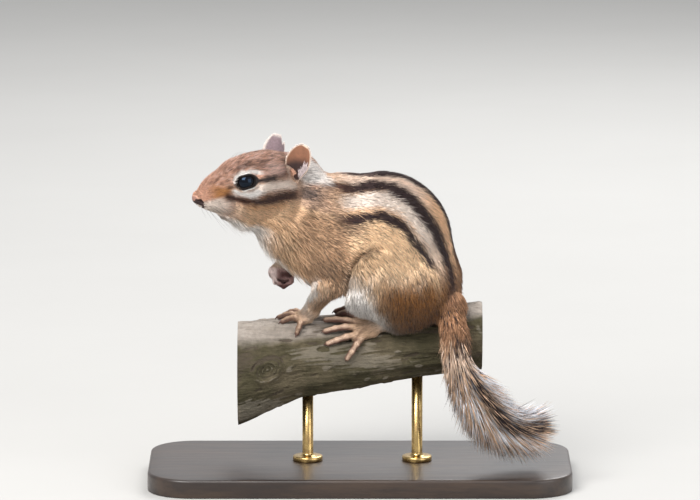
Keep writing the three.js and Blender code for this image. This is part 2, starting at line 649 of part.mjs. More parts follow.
// A toe that lies on the bark: from a station on the foot to a tip, arched over its knuckle
function barkToe([fromX, fromTilt, toX, toTilt, arch], radius) {
  const points = [0, 0.34, 0.68, 1].map((t, i) => {
    const lift = [radius * 1.15, radius + arch, radius + arch * 0.55, radius * 0.75][i];
    return onBark(mix(fromX, toX, t), mix(fromTilt, toTilt, t), lift);
  });
  return toe(points, barkNormal(mix(fromTilt, toTilt, 0.7)), radius);
}

// Toes as [start x, start tilt, tip x, tip tilt, knuckle height]
const HIND_TOES = {
  hindfoot_left: [
    [8, 0.5, -0.6, 0.06, 1.6],
    [6.8, 0.58, -5.6, 0.4, 1.3],
    [6, 0.76, -5.8, 0.76, 1.3],
    [6.2, 0.95, -4.8, 1.1, 1.3],
    [8.6, 1.06, 3, 1.52, 1.4],
  ],
  hindfoot_right: [
    [12, -0.06, 5.6, 0.22, 1.2],
    [10.6, -0.1, 0.2, -0.02, 1.2],
    [10, -0.2, -1.4, -0.22, 1.2],
    [10.2, -0.32, -0.6, -0.46, 1.2],
    [12, -0.4, 4.6, -0.76, 1.2],
  ],
};
const FORE_TOES = [
  [-15.6, 0.04, -21.6, -0.16, 0.9],
  [-17, 0.14, -24.4, 0.04, 1],
  [-17, 0.3, -23, 0.36, 1],
  [-15, 0.46, -17.2, 0.74, 1.1],
];

const onBranch = (part, toes, radius) =>
  union([limb(part), ...toes.flatMap((row) => barkToe(row, radius))]).subtract(branchReach);

// The lifted paw hangs from its wrist, with four fingers curled back and the thumb's stub beside them
function foreFootRight(neck, torso) {
  const fingers = [0, 1, 2, 3].flatMap((i) => {
    const y = 1.9 + i * 1.95;
    const reach = [0.2, 0.9, 0.7, -0.3][i];
    const points = [
      vec(-26.8, y * 0.9 + 0.5, 18.6),
      vec(-26, y, 15),
      vec(-22.6, y, 13.2 - reach * 0.4),
      vec(-19.8 + reach * 0.5, y + 0.1, 14.8),
      vec(-19.4 + reach * 0.5, y + 0.15, 17.4),
    ];
    return toe(points, vec(0, 1, 0), 1.15);
  });
  const thumb = tube([vec(-23, 2.6, 20.2), vec(-21.4, 1.9, 18.6), vec(-20.4, 1.9, 17)], {
    radius: (t) => mix(1.1, 0.7, t),
    sides: 6,
    steps: 3,
  });
  const clearOfChest = [neck, torso].map((solid) => grown(solid, TOUCH_GAP));
  return clearOfChest.reduce((rest, chest) => rest.subtract(chest), union([limb("forefoot_right"), thumb, ...fingers]));
}

// Tail brush: a slim core with flat tapered locks that lean back from it in staggered rows

const TAIL = [
  [46.2, -15.6, -10], [47.6, -16.4, -15.5], [50.2, -16.8, -21], [53.6, -16.8, -27],
  [57.2, -16.4, -32.6], [61.6, -15.4, -37.4], [67.2, -14, -40.6], [73.6, -12.4, -42],
];
const BRUSH = { rows: 10, around: 6, core: [4.6, 3.4], lock: 17, width: 4.8, thickness: 1.3, lean: 0.5, spread: 0.26 };

const tailCurve = new THREE.CatmullRomCurve3(TAIL.map((p) => vec(...p)), false, "centripetal");

const tailRoot = () =>
  limb("tail_root").subtract(slab(tailCurve.getPoint(0), tailCurve.getTangent(0).negate(), 60));

function tailBrush() {
  const curve = tailCurve;
  const facing = curve.getTangent(0);
  const trimmed = slab(curve.getPoint(0).addScaledVector(facing, TOUCH_GAP), facing, 60);
  const coreRadius = (t) => mix(BRUSH.core[0], BRUSH.core[1], t);
  const core = tube(TAIL.map((p) => vec(...p)), {
    radius: (t) => mix(4.8, coreRadius(t), smooth(t * 5)) * Math.sqrt(1 - 0.7 * smooth((t - 0.8) * 5)),
    thin: vec(0, 1, 0),
    sides: 8,
    steps: 9,
  });
  const locks = [];
  for (let row = 0; row < BRUSH.rows; row += 1) {
    for (let k = 0; k < BRUSH.around; k += 1) {
      const t = mix(0.06, 0.985, (row + 0.5 * draw()) / (BRUSH.rows - 0.5));
      const centre = curve.getPoint(t);
      const tangent = curve.getTangent(t);
      const flat = tangent.clone().cross(vec(0, 1, 0)).normalize();
      const deep = flat.clone().cross(tangent).normalize();
      const angle = (2 * Math.PI * (k + 0.5 * (row % 2) + 0.3 * (draw() - 0.5))) / BRUSH.around;
      const out = flat.clone().multiplyScalar(Math.cos(angle)).addScaledVector(deep, Math.sin(angle));
      const fan = Math.abs(Math.cos(angle));
      const lean = BRUSH.lean + BRUSH.spread * fan * mix(0.6, 1, t);
      const length = BRUSH.lock * mix(0.66, 1, smooth(t * 2.2)) * (0.92 + 0.16 * draw());
      const step = (far, sway) =>
        centre
          .clone()
          .addScaledVector(out, coreRadius(t) * 0.2 + far * Math.sin(lean * (1 - 0.35 * (far / length))))
          .addScaledVector(tangent, far * Math.cos(lean))
          .addScaledVector(flat, sway);
      const sway = 0.8 * (draw() - 0.5);
      locks.push(
        tube([step(0, 0), step(length * 0.36, 0), step(length * 0.7, sway * 0.5), step(length, sway)], {
          radius: (s) => (BRUSH.width / 2) * mix(0.8, 1, smooth(s * 3)) * (1 - 0.6 * s ** 2),
          flat: (s) => mix(BRUSH.thickness / BRUSH.width, 0.6, s),
          thin: out,
          sides: 4,
          steps: 2,
          pointed: true,
        }),
      );
    }
  }
  return union([core, ...locks]).subtract(trimmed).subtract(branchReach);
}

// Stand: a flat base with rounded edges and two rods, each with a flange on the base

function baseSolid() {
  const { length, width, thickness, corner, bevel } = BASE;
  const outline = (inset) => {
    const points = [];
    for (let quarter = 0; quarter < 4; quarter += 1) {
      const cx = (length / 2 - corner) * [1, -1, -1, 1][quarter];
      const cy = (width / 2 - corner) * [1, 1, -1, -1][quarter];
      for (let k = 0; k <= 5; k += 1) {
        const angle = (Math.PI / 2) * (quarter + k / 5);
        points.push([cx + (corner - inset) * Math.cos(angle), cy + (corner - inset) * Math.sin(angle)]);
      }
    }
    return points;
  };
  const ring = (inset, z) => outline(inset).map(([x, y]) => vec(x, y, z));
  return loft([
    ring(0.5, 0),
    ring(0, 0.5),
    ring(0, thickness - bevel),
    ring(bevel * 0.35, thickness - bevel * 0.35),
    ring(bevel, thickness),
  ]);
}

function rodSolid(x) {
  const floorOfRod = BASE.thickness + TOUCH_GAP - CREST_HEIGHT;
  const top = along(BRANCH.axis, x) - 4;
  const profile = [
    [0, floorOfRod],
    [ROD.flangeRadius, floorOfRod],
    [ROD.flangeRadius, floorOfRod + ROD.flangeHeight * 0.7],
    [ROD.flangeRadius * 0.92, floorOfRod + ROD.flangeHeight],
    [ROD.radius + 0.6, floorOfRod + ROD.flangeHeight],
    [ROD.radius, floorOfRod + ROD.flangeHeight + 0.6],
    [ROD.radius, top],
    [0, top],
  ].map(([r, z]) => new THREE.Vector2(r, z));
  const geometry = new THREE.LatheGeometry(profile, ROD.sides);
  geometry.rotateX(Math.PI / 2).translate(x, BRANCH_SIDE, 0);
  const solid = solidOf(geometry);
  return solid.subtract(branchReach);
}

// Assembly

const colours = {
  coat: new THREE.MeshStandardMaterial({ color: 0xa9784a, roughness: 0.9 }),
  haunch: new THREE.MeshStandardMaterial({ color: 0x9a6430, roughness: 0.9 }),
  face: new THREE.MeshStandardMaterial({ color: 0xb08256, roughness: 0.88 }),
  ear: new THREE.MeshStandardMaterial({ color: 0xc9ab93, roughness: 0.8 }),
  eye: new THREE.MeshStandardMaterial({ color: 0x0b0908, roughness: 0.08 }),
  foot: new THREE.MeshStandardMaterial({ color: 0xc39d80, roughness: 0.7 }),
  brush: new THREE.MeshStandardMaterial({ color: 0x8b7d70, roughness: 0.92 }),
  bark: new THREE.MeshStandardMaterial({ color: 0x86796a, roughness: 0.95 }),
  base: new THREE.MeshStandardMaterial({ color: 0x35261c, roughness: 0.45 }),
  rod: new THREE.MeshStandardMaterial({ color: 0xb28a45, roughness: 0.3, metalness: 1 }),
};

const headReach = grown(headFlesh, TOUCH_GAP);

const animal = new THREE.Group();
const stand = new THREE.Group();

function show(group, name, solid, material) {
  const mesh = new THREE.Mesh(geometryOf(largest(solid)), material);
  mesh.name = name;
  group.add(mesh);
}

const torso = torsoSolid();
const neck = neckSolid();
show(animal, "torso", torso, colours.coat);
show(animal, "neck", neck, colours.coat);
show(animal, "head", headSolid(), colours.face);
for (const [word, side] of [["left", -1], ["right", 1]]) {
  show(animal, `ear_${word}`, earSolid(side, headReach), colours.ear);
  show(animal, `eye_${word}`, ball(eyeCentre(side), EYE_RADIUS, 14, 9), colours.eye);
  show(animal, `foreleg_${word}`, limb(`foreleg_${word}`), colours.coat);
  show(animal, `hindleg_${word}`, limb(`hindleg_${word}`), colours.haunch);
  show(animal, `hindfoot_${word}`, onBranch(`hindfoot_${word}`, HIND_TOES[`hindfoot_${word}`], 1.3), colours.foot);
}
show(animal, "forefoot_left", onBranch("forefoot_left", FORE_TOES, 1.15), colours.foot);
show(animal, "forefoot_right", foreFootRight(neck, torso), colours.foot);
show(animal, "tail_root", tailRoot(), colours.coat);
show(animal, "tail_brush", tailBrush(), colours.brush);
show(animal, "perch_branch", branch, colours.bark);
ROD.x.forEach((x, i) => show(animal, `stand_rod_${["front", "rear"][i]}`, rodSolid(x), colours.rod));
show(stand, "stand_base", baseSolid(), colours.base);

animal.position.set(CREST_FROM_CENTRE, -BRANCH_SIDE, CREST_HEIGHT);
const part = new THREE.Group();
part.add(animal, stand);
export default part;
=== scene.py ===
import bmesh
import bpy
import math
import numpy as np
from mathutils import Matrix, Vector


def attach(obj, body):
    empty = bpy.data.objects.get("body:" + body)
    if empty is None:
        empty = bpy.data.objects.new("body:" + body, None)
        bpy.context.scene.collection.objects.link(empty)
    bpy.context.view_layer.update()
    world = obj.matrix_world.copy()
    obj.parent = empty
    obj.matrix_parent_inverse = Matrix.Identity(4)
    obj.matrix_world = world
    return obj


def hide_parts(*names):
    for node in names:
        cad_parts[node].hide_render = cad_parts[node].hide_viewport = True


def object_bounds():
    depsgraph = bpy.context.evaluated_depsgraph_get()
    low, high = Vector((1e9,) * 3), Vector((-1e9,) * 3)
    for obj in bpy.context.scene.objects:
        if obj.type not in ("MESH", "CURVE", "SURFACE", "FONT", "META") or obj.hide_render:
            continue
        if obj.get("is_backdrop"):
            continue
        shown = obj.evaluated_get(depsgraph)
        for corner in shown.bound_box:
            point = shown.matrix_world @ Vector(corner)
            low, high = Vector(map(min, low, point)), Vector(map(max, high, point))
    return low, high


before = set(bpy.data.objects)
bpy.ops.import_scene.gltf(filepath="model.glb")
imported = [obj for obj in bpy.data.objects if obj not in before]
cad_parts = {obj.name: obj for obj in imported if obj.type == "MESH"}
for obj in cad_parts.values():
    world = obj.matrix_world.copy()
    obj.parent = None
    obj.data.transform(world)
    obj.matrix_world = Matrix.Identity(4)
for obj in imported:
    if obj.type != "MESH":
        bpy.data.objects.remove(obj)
cad_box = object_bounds()

# The view: a long lens level with the animal's flank, ten degrees above it, so that the branch's top
# just shows. Sizes of the animal and its branch are in millimetres about the branch's crest under the
# belly, with the nose towards -X and the left side towards -Y.
CREST = np.array([-8.0, -5.0, 66.0])
VIEW_HEIGHT = math.radians(10)
VIEW_DISTANCE = 2.3
VIEW_WIDTH = 0.280
VIEW_MIDDLE = (CREST + [4.0, 0.0, 28.4]) / 1000

lens = bpy.data.cameras.new("view")
lens.sensor_width = 36
lens.lens = 36 * VIEW_DISTANCE / VIEW_WIDTH
lens.clip_start = 0.05
lens.clip_end = 20
camera = bpy.data.objects.new("view", lens)
camera.location = VIEW_MIDDLE + VIEW_DISTANCE * np.array([0, -math.cos(VIEW_HEIGHT), math.sin(VIEW_HEIGHT)])
camera.rotation_euler = (math.pi / 2 - VIEW_HEIGHT, 0, 0)
bpy.context.scene.collection.objects.link(camera)
bpy.context.scene.camera = camera


# The base: one board of close-grained wood, its corners rounded and its upper edge eased, stained dark
# and rubbed with a satin varnish.
BASE_LENGTH = 170
BASE_WIDTH = 78
BASE_THICKNESS = 7.5
BASE_CORNER = 18
BASE_EDGE = 1.2
STAIN = (0.045, 0.026, 0.016, 1)
STAIN_DARK = (0.018, 0.010, 0.007, 1)


class Tone:
    """A number in a shader, on which Python arithmetic adds Math nodes."""

    def __init__(self, finish, socket):
        self.finish = finish
        self.socket = socket

    def math(self, operation, *values):
        sockets = dict(enumerate(values))
        return self.finish.node("Math", {"operation": operation}, sockets)

    def __add__(self, other):
        return self.math("ADD", self, other)

    def __radd__(self, other):
        return self.math("ADD", other, self)

    def __sub__(self, other):
        return self.math("SUBTRACT", self, other)

    def __rsub__(self, other):
        return self.math("SUBTRACT", other, self)

    def __mul__(self, other):
        return self.math("MULTIPLY", self, other)

    def __rmul__(self, other):
        return self.math("MULTIPLY", other, self)


class Finish:
    """A material. node() adds any node: its type, its settings, and the values or links of its sockets."""

    def __init__(self, name, **constants):
        self.material = bpy.data.materials.new(name)
        self.material.use_nodes = True
        self.tree = self.material.node_tree
        self.shader = self.tree.nodes["Principled BSDF"]
        for socket, value in constants.items():
            self.shader.inputs[socket.replace("_", " ")].default_value = value

    def node(self, kind, settings, sockets, output=0):
        made = self.tree.nodes.new("ShaderNode" + kind)
        for name, value in settings.items():
            if name == "stops":
                for stop, (place, colour) in zip(made.color_ramp.elements, value):
                    stop.position = place
                    stop.color = colour
            else:
                setattr(made, name, value)
        for name, value in sockets.items():
            self.put(made.inputs[name], value)
        return Tone(self, made.outputs[output])

    def put(self, socket, value):
        if isinstance(value, Tone):
            self.tree.links.new(value.socket, socket)
        else:
            socket.default_value = value

    def feed(self, **inputs):
        for name, value in inputs.items():
            self.put(self.shader.inputs[name.replace("_", " ")], value)

    def place(self, stretch=(1, 1, 1)):
        """The point of the surface in metres, with each axis stretched."""
        where = self.node("TexCoord", {}, {}, "Object")
        return self.node("VectorMath", {"operation": "MULTIPLY"}, {0: where, 1: stretch})

    def noise(self, where, scale, detail=3, rough=0.55):
        sockets = {"Vector": where, "Scale": scale, "Detail": detail, "Roughness": rough}
        return self.node("TexNoise", {}, sockets)

    def between(self, value, low, high):
        """0 below low, 1 above high, and smooth between them."""
        settings = {"interpolation_type": "SMOOTHSTEP"}
        sockets = {"Value": value, "From Min": low, "From Max": high}
        return self.node("MapRange", settings, sockets)

    def blend(self, mask, first, second):
        """One colour turning into another as the mask goes from 0 to 1."""
        return self.node("Mix", {"data_type": "RGBA"}, {0: mask, 6: first, 7: second}, 2)

    def shade(self, colour, amount):
        """A colour times a number."""
        settings = {"operation": "SCALE"}
        return self.node("VectorMath", settings, {0: colour, "Scale": amount})

    def relief(self, height, depth, strength=1.0):
        """A bump whose full height is depth in metres, fed to the shader's normal."""
        bump = self.node("Bump", {}, {"Height": height, "Distance": depth, "Strength": strength})
        self.put(self.shader.inputs["Normal"], bump)


def add_colours(mesh, attributes):
    """Colours for each corner of a mesh, by name."""
    for key, value in attributes.items():
        held = mesh.attributes.new(key, "FLOAT_COLOR", "POINT")
        four = np.concatenate([value, np.ones((len(value), 1))], axis=1)
        held.data.foreach_set("color", four.astype(np.float32).ravel())


def make_mesh(name, corners, faces, finish, slot, replaced=(), attributes=None):
    """A mesh piece from corners in millimetres about the crest and rows of face corners.

    Faces are one array for each number of sides. attributes are colours for each corner, by name.
    """
    sizes = np.concatenate([np.full(len(f), f.shape[1]) for f in faces])
    starts = np.concatenate([[0], np.cumsum(sizes)[:-1]]).astype(np.int32)
    mesh = bpy.data.meshes.new(name)
    mesh.vertices.add(len(corners))
    mesh.vertices.foreach_set("co", ((corners + CREST) / 1000).astype(np.float32).ravel())
    mesh.loops.add(int(sizes.sum()))
    mesh.loops.foreach_set("vertex_index", np.concatenate([f.ravel() for f in faces]).astype(np.int32))
    mesh.polygons.add(len(sizes))
    mesh.polygons.foreach_set("loop_start", starts)
    mesh.polygons.foreach_set("use_smooth", np.ones(len(sizes), bool))
    mesh.update(calc_edges=True)
    add_colours(mesh, attributes or {})
    mesh.materials.append(finish.material)
    made = bpy.data.objects.new(name, mesh)
    bpy.context.scene.collection.objects.link(made)
    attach(made, "root")
    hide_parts(*replaced)
    return made


def ring_faces(rows, sides):
    """Quads between closed rings of points, and a fan from a pole at each end, for a closed skin.

    The corners are rows x sides points, then the first pole and the last.
    """
    r, k = np.meshgrid(np.arange(rows - 1), np.arange(sides), indexing="ij")
    a = (r * sides + k).ravel()
    b = (r * sides + (k + 1) % sides).ravel()
    quads = np.stack([a, b, b + sides, a + sides], axis=1)
    k = np.arange(sides)
    after = (k + 1) % sides
    low = np.stack([np.full(sides, rows * sides), after, k], axis=1)
    last = (rows - 1) * sides
    high = np.stack([np.full(sides, rows * sides + 1), last + k, last + after], axis=1)
    return [quads, np.concatenate([low, high])]


def closed_rings(rings):
    """Corners for ring_faces: the rings, then a pole in the middle of each end."""
    return np.concatenate([rings.reshape(-1, 3), rings[[0, -1]].mean(axis=1)])


def joined(skins):
    """The corners and faces of many closed skins of rings, as one mesh."""
    corners, faces, start = [], [], 0
    for rings in skins:
        corners.append(closed_rings(rings))
        faces.append([f + start for f in ring_faces(*rings.shape[:2])])
        start += len(corners[-1])
    return np.concatenate(corners), [np.concatenate(f) for f in zip(*faces)]


def board_rings(profile, sides=128):
    """A rounded rectangle at each row of the profile, an inset from the outline and a height.

    Each point is the corner's centre plus the corner's radius less the inset, turned round by an angle.
    """
    angle = (np.arange(sides) + 0.5) * 2 * math.pi / sides
    x = np.sign(np.cos(angle)) * (BASE_LENGTH / 2 - BASE_CORNER)
    y = np.sign(np.sin(angle)) * (BASE_WIDTH / 2 - BASE_CORNER)
    inset, height = (c[:, None] for c in np.array(profile).T)
    reach = np.maximum(BASE_CORNER - inset, 0)
    shrink = np.clip(1 - (inset - BASE_CORNER) / (BASE_WIDTH / 2 - BASE_CORNER), 0.02, 1)
    points = [x * shrink + reach * np.cos(angle), y * shrink + reach * np.sin(angle)]
    return np.stack([*points, height + 0 * points[0]], axis=2)


edge = np.linspace(0, math.pi / 2, 7)
base_profile = [[30, 0], [12, 0], [0.5, 0], [0.1, 0.15], [0, 0.5]]
base_profile += [
    [BASE_EDGE * (1 - math.cos(a)), BASE_THICKNESS - BASE_EDGE * (1 - math.sin(a))] for a in edge
]
base_profile += [[inset, BASE_THICKNESS] for inset in (6, 18, 30, 38)]
board = board_rings(base_profile) - CREST

varnished = Finish("dark_stained_wood", Coat_Weight=0.35, Coat_Roughness=0.22, IOR=1.5)
where = varnished.place((9, 70, 70))
rings_of_growth = varnished.noise(where, 3.2, 4, 0.6)
pores = varnished.noise(varnished.place((40, 900, 900)), 1.4, 3, 0.7)
grain = varnished.between(rings_of_growth + 0.35 * pores, 0.42, 0.86)
varnished.feed(Base_Color=varnished.blend(grain, STAIN, STAIN_DARK), Roughness=0.34 + 0.2 * pores)
varnished.relief(pores, 0.00012, 0.5)
make_mesh(
    "base_board", closed_rings(board), ring_faces(*board.shape[:2]), varnished, "base", ["stand_base"]
)


# The two rods: turned brass, each with a flange screwed to the base from below and its upper end let
# into a hole under the branch.
ROD_X = [-13, 31]
ROD_RADIUS = 2.2
FLANGE_RADIUS = 6
FLANGE_HEIGHT = 2
BRANCH_SIDE = 5.0
BRASS = (0.60, 0.42, 0.17, 1)
BRASS_WORN = (0.38, 0.25, 0.11, 1)
BRANCH_AXIS = [[-41, -22.6], [-15, -16], [4, -14.2], [23, -11.4], [50, -8.2], [60, -7]]


def stops(rows, x):
    """The value of a row of stops at x, straight between them."""
    rows = np.array(rows, float)
    return np.interp(x, rows[:, 0], rows[:, 1])


def turned(profile, centre, sides=56):
    """A lathe shape: each row of the profile is a radius and a height, turned round a vertical axis."""
    angle = np.arange(sides) * 2 * math.pi / sides
    radius, height = (c[:, None] for c in np.array(profile, float).T)
    x = centre[0] + radius * np.cos(angle)
    y = centre[1] + radius * np.sin(angle)
    return np.stack([x, y, height + 0 * x], axis=2)


brass = Finish("turned_brass", Metallic=1.0)
tarnish = brass.between(brass.noise(brass.place(), 320, 4, 0.6), 0.42, 0.72)
turning = brass.noise(brass.place((60, 60, 9000)), 1, 2, 0.5)
brass.feed(
    Base_Color=brass.blend(tarnish, BRASS, BRASS_WORN),
    Roughness=0.2 + 0.14 * tarnish + 0.08 * turning,
)
brass.relief(turning, 0.00003, 0.4)
floor = BASE_THICKNESS + 0.02 - CREST[2]
for word, x in zip(["front", "rear"], ROD_X):
    top = stops(BRANCH_AXIS, x) - 11
    fillet = [
        [ROD_RADIUS + 1.3 * (1 - math.sin(a)), floor + FLANGE_HEIGHT + 1.3 * (1 - math.cos(a))] for a in edge
    ]
    profile = [
        [FLANGE_RADIUS - 0.2, floor],
        [FLANGE_RADIUS, floor + 0.2],
        [FLANGE_RADIUS, floor + FLANGE_HEIGHT - 0.5],
        [FLANGE_RADIUS - 0.15, floor + FLANGE_HEIGHT - 0.15],
        [FLANGE_RADIUS - 0.5, floor + FLANGE_HEIGHT],
        *fillet,
        [ROD_RADIUS, top],
    ]
    rod = turned(profile, (x, BRANCH_SIDE))
    make_mesh(
        f"brass_rod_{word}", closed_rings(rod), ring_faces(*rod.shape[:2]), brass, "rod",
        [f"stand_rod_{word}"],
    )


# The branch: a dead limb with its bark on, thicker to the left, with a healed scar on the near side,
# cut off square at both ends. Bark is thin, grey above and olive brown below, with long fine furrows.
# The olive brown of the underside and the furrows are darkened further with painted shade.
BRANCH_START = -41
BRANCH_END = 57
BRANCH_RADIUS = [[-41, 21], [-30, 18.6], [-15, 15.9], [4, 15], [23, 14.3], [60, 13.9]]
BRANCH_ROWS = 340
BRANCH_SIDES = 250
SCAR_X = -29
SCAR_ANGLE = 3.05
BARK_GREY = (0.37, 0.325, 0.285, 1)
BARK_GREY_DARK = (0.25, 0.215, 0.18, 1)
BARK_OLIVE_SHADED = (0.058, 0.050, 0.026, 1)
BARK_OLIVE_PALE_SHADED = (0.105, 0.085, 0.052, 1)
BARK_FURROW_AND_SHADE = (0.075, 0.058, 0.042, 1)
BARK_WART = (0.34, 0.30, 0.25, 1)
WOOD_LIGHT = (0.52, 0.36, 0.20, 1)
WOOD_DARK = (0.40, 0.25, 0.13, 1)
RING_COUNT = 88


def bell(value, width):
    """1 at 0, falling away on both sides, to 0.37 at the width."""
    return np.exp(-((value / width) ** 2))


def plain_radius(x, angle):
    """The stops' radius, plus eleven soft furrows that wander, a sway to one side and the scar's lip."""
    wander = 11 * angle + 1.6 * np.sin(x * 0.11) + 0.8 * np.sin(3 * angle + x * 0.05)
    turn = np.arctan2(np.sin(angle - SCAR_ANGLE), np.cos(angle - SCAR_ANGLE))
    off = np.hypot(x - SCAR_X, turn * stops(BRANCH_RADIUS, x))
    lip = 1.5 * bell(off - 4.55, 1.95)
    return stops(BRANCH_RADIUS, x) + 0.4 * np.sin(wander) + 0.5 * np.sin(2 * angle + x * 0.06) + lip


def ripple(points, wavelength, seed, waves=14):
    """Soft random relief: the sum of plane waves in random directions, about -1 to 1."""
    rng = np.random.default_rng(seed)
    turn = rng.normal(size=(waves, 3))
    turn /= np.linalg.norm(turn, axis=1, keepdims=True)
    turn *= 2 * math.pi / (wavelength * rng.uniform(0.7, 1.5, (waves, 1)))
    phase = rng.uniform(0, 2 * math.pi, waves)
    return np.sin(points @ turn.T + phase).sum(axis=-1) / math.sqrt(waves / 2) / 1.6


def rise(value, low, high):
    """0 below low, 1 above high, smooth between them."""
    t = np.clip((value - low) / (high - low), 0, 1)
    return t * t * (3 - 2 * t)


def fall(value, low, high):
    """1 below low, 0 above high, smooth between them."""
    return 1 - rise(value, low, high)


def bark_relief(x, angle, radius):
    """Fine furrows along the branch, a few short cracks across it and small warts, in millimetres."""
    p = np.stack([x * 0.1, radius * np.cos(angle), radius * np.sin(angle)], axis=-1)
    long_furrows = -0.24 * rise(ripple(p, 1.9, 3), 0.35, 0.9) + 0.10 * ripple(p, 1.2, 4)
    q = np.stack([x * 0.3, radius * np.cos(angle), radius * np.sin(angle)], axis=-1)
    cracks = -0.55 * rise(ripple(q, 3.6, 5), 0.95, 1.15)
    warts = 0.3 * rise(ripple(q * [3.3, 1, 1], 5, 6), 0.9, 1.3)
    broad = 0.35 * ripple(q, 16, 7)
    return long_furrows + cracks + warts + broad


def scar_relief(x, angle):
    """The scar's inside: rings round its middle, a split along its upper edge and a flake below."""
    turn = np.arctan2(np.sin(angle - SCAR_ANGLE), np.cos(angle - SCAR_ANGLE))
    along = x - SCAR_X
    up = -turn * stops(BRANCH_RADIUS, x)
    off = np.hypot(along, up * 1.25)
    rings = 0.34 * np.sin(off * 4.2 + 0.6 * np.sin(3 * np.arctan2(up, along))) * fall(off, 3.5, 6)
    split = -1.2 * bell(off - 6.4, 0.5) * rise(up, 0.5, 2.5)
    second = -0.8 * bell(off - 4.9, 0.35) * rise(up + 0.4 * along, 1.0, 3.0)
    flake = 0.5 * rise(off, 4.9, 5.3) * fall(off, 5.3, 7.5) * rise(-up, 1.5, 3.5)
    return rings + split + second + flake


x = np.linspace(BRANCH_START, BRANCH_END, BRANCH_ROWS)[:, None]
angle = (np.arange(BRANCH_SIDES) * 2 * math.pi / BRANCH_SIDES)[None, :]
smooth_radius = plain_radius(x, angle)
relief = bark_relief(x + 0 * angle, angle + 0 * x, smooth_radius) + scar_relief(x, angle)
sawn = rise(np.minimum(x - BRANCH_START, BRANCH_END - x), 0, 1.2)
radius = smooth_radius + (relief - 0.25) * sawn - 0.5 * (1 - sawn)
tube = np.stack([
    x + 0 * angle,
    BRANCH_SIDE + radius * np.cos(angle),
    stops(BRANCH_AXIS, x) + radius * np.sin(angle),
], axis=2)


def sawn_face(ring, x, outwards):
    """Rings from the bark's edge to the pith, with shallow saw marks, for an end of the branch."""
    share = np.linspace(1, 0.04, 30)[:, None, None]
    centre = ring.mean(axis=0)
    points = centre + (ring - centre) * share
    marks = 0.12 * np.sin(points[..., 1] * 5.2 + 0.5 * np.sin(points[..., 2]))
    marks = marks + 0.05 * np.sin(points[..., 1] * 17)
    points[..., 0] = x + outwards * (0.15 * marks - 0.25 * (share[..., 0] > 0.93))
    return points[1:]


near_end = sawn_face(tube[0], BRANCH_START, -1)[::-1]
far_end = sawn_face(tube[-1], BRANCH_END, 1)
branch = np.concatenate([near_end, tube, far_end])
cut = np.concatenate([np.ones(len(near_end)), np.zeros(BRANCH_ROWS), np.ones(len(far_end))])
none = 0 * branch[..., 0]
centre = np.stack([none, none + BRANCH_SIDE, stops(BRANCH_AXIS, branch[..., 0])], axis=-1)
off_pith = np.hypot(*(branch - centre)[..., 1:].transpose(2, 0, 1))
depth_of_furrow = np.concatenate([0 * near_end[..., 0], relief, 0 * far_end[..., 0]])
facts = np.stack([
    cut[:, None] + 0 * depth_of_furrow,
    np.clip(0.5 + depth_of_furrow, 0, 1),
    np.where(cut[:, None] > 0, off_pith / 25, 0.5 + 0.5 * (branch - centre)[..., 2] / off_pith),
], axis=2)
facts = np.concatenate([facts.reshape(-1, 3), facts[[0, -1], 0]])

bark = Finish("branch_bark", Roughness=0.85, Specular_IOR_Level=0.25)
held = bark.node("Attribute", {"attribute_name": "branch_facts"}, {}, "Color")
split = bark.node("SeparateColor", {}, {0: held})
is_cut, depth, upward = (Tone(bark, split.socket.node.outputs[i]) for i in range(3))
where = bark.place()
streaks = bark.noise(bark.place((110, 760, 760)), 1.3, 5, 0.6)
patches = bark.noise(where, 60, 4, 0.6)
mottle = bark.noise(where, 520, 4, 0.7)
# Grey on the top; below, the olive brown is darkened with painted shade on the underside.
upper = bark.between(upward + 0.30 * patches, 0.92, 1.06)
grey = bark.blend(bark.between(patches, 0.35, 0.7), BARK_GREY, BARK_GREY_DARK)
olive = bark.blend(bark.between(patches, 0.4, 0.65), BARK_OLIVE_SHADED, BARK_OLIVE_PALE_SHADED)
outer = bark.blend(upper, olive, grey)
outer = bark.shade(outer, 0.2 + 0.9 * streaks + 0.7 * mottle)
# Darker in the furrows and cracks: partly the bark's own colour, partly painted shade.
outer = bark.blend(bark.between(depth, 0.30, 0.02) * 0.8, outer, BARK_FURROW_AND_SHADE)
outer = bark.blend(bark.between(depth + 0.25 * mottle, 0.82, 1.05) * 0.3, outer, BARK_WART)
growth = bark.node("Math", {"operation": "SINE"}, {0: upward * RING_COUNT + 4 * patches})
wood = bark.blend(bark.between(growth, -0.6, 0.9), WOOD_LIGHT, WOOD_DARK)
wood = bark.shade(wood, 0.75 + 0.4 * streaks)
bark.feed(Base_Color=bark.blend(is_cut, outer, wood))
bark.relief(streaks + 0.8 * mottle, 0.0011, 1.0)
make_mesh(
    "branch", closed_rings(branch), ring_faces(*branch.shape[:2]), bark, "bark", ["perch_branch"],
    {"branch_facts": facts},
)


# The body under its coat: one skin from nose to tail tip, drawn over muscle masses that melt into each
# other. Each row is a part, how softly it melts in, its two ends and radii, its width share across Y,
# the way its hair lies and the hair's length. The skin lies 0.28 of the hair's length inside the coat.
HEAD_ORIGIN = np.array([-21.5, 1.0, 54.0])
HEAD_YAW = math.radians(24)
EYE_RADIUS = 3.7
EYE_CENTRE = np.array([-20.9, 7.8, 4.6])
EYE_AXIS = np.array([-0.2, 0.97, 0.09])
COAT_SHARE = 0.28


def to_head(p):
    """Points in the head's own frame: moved to its origin and turned back by its yaw."""
    d = p - HEAD_ORIGIN
    c, s = math.cos(HEAD_YAW), math.sin(HEAD_YAW)
    return np.stack([c * d[..., 0] + s * d[..., 1], c * d[..., 1] - s * d[..., 0], d[..., 2]], axis=-1)


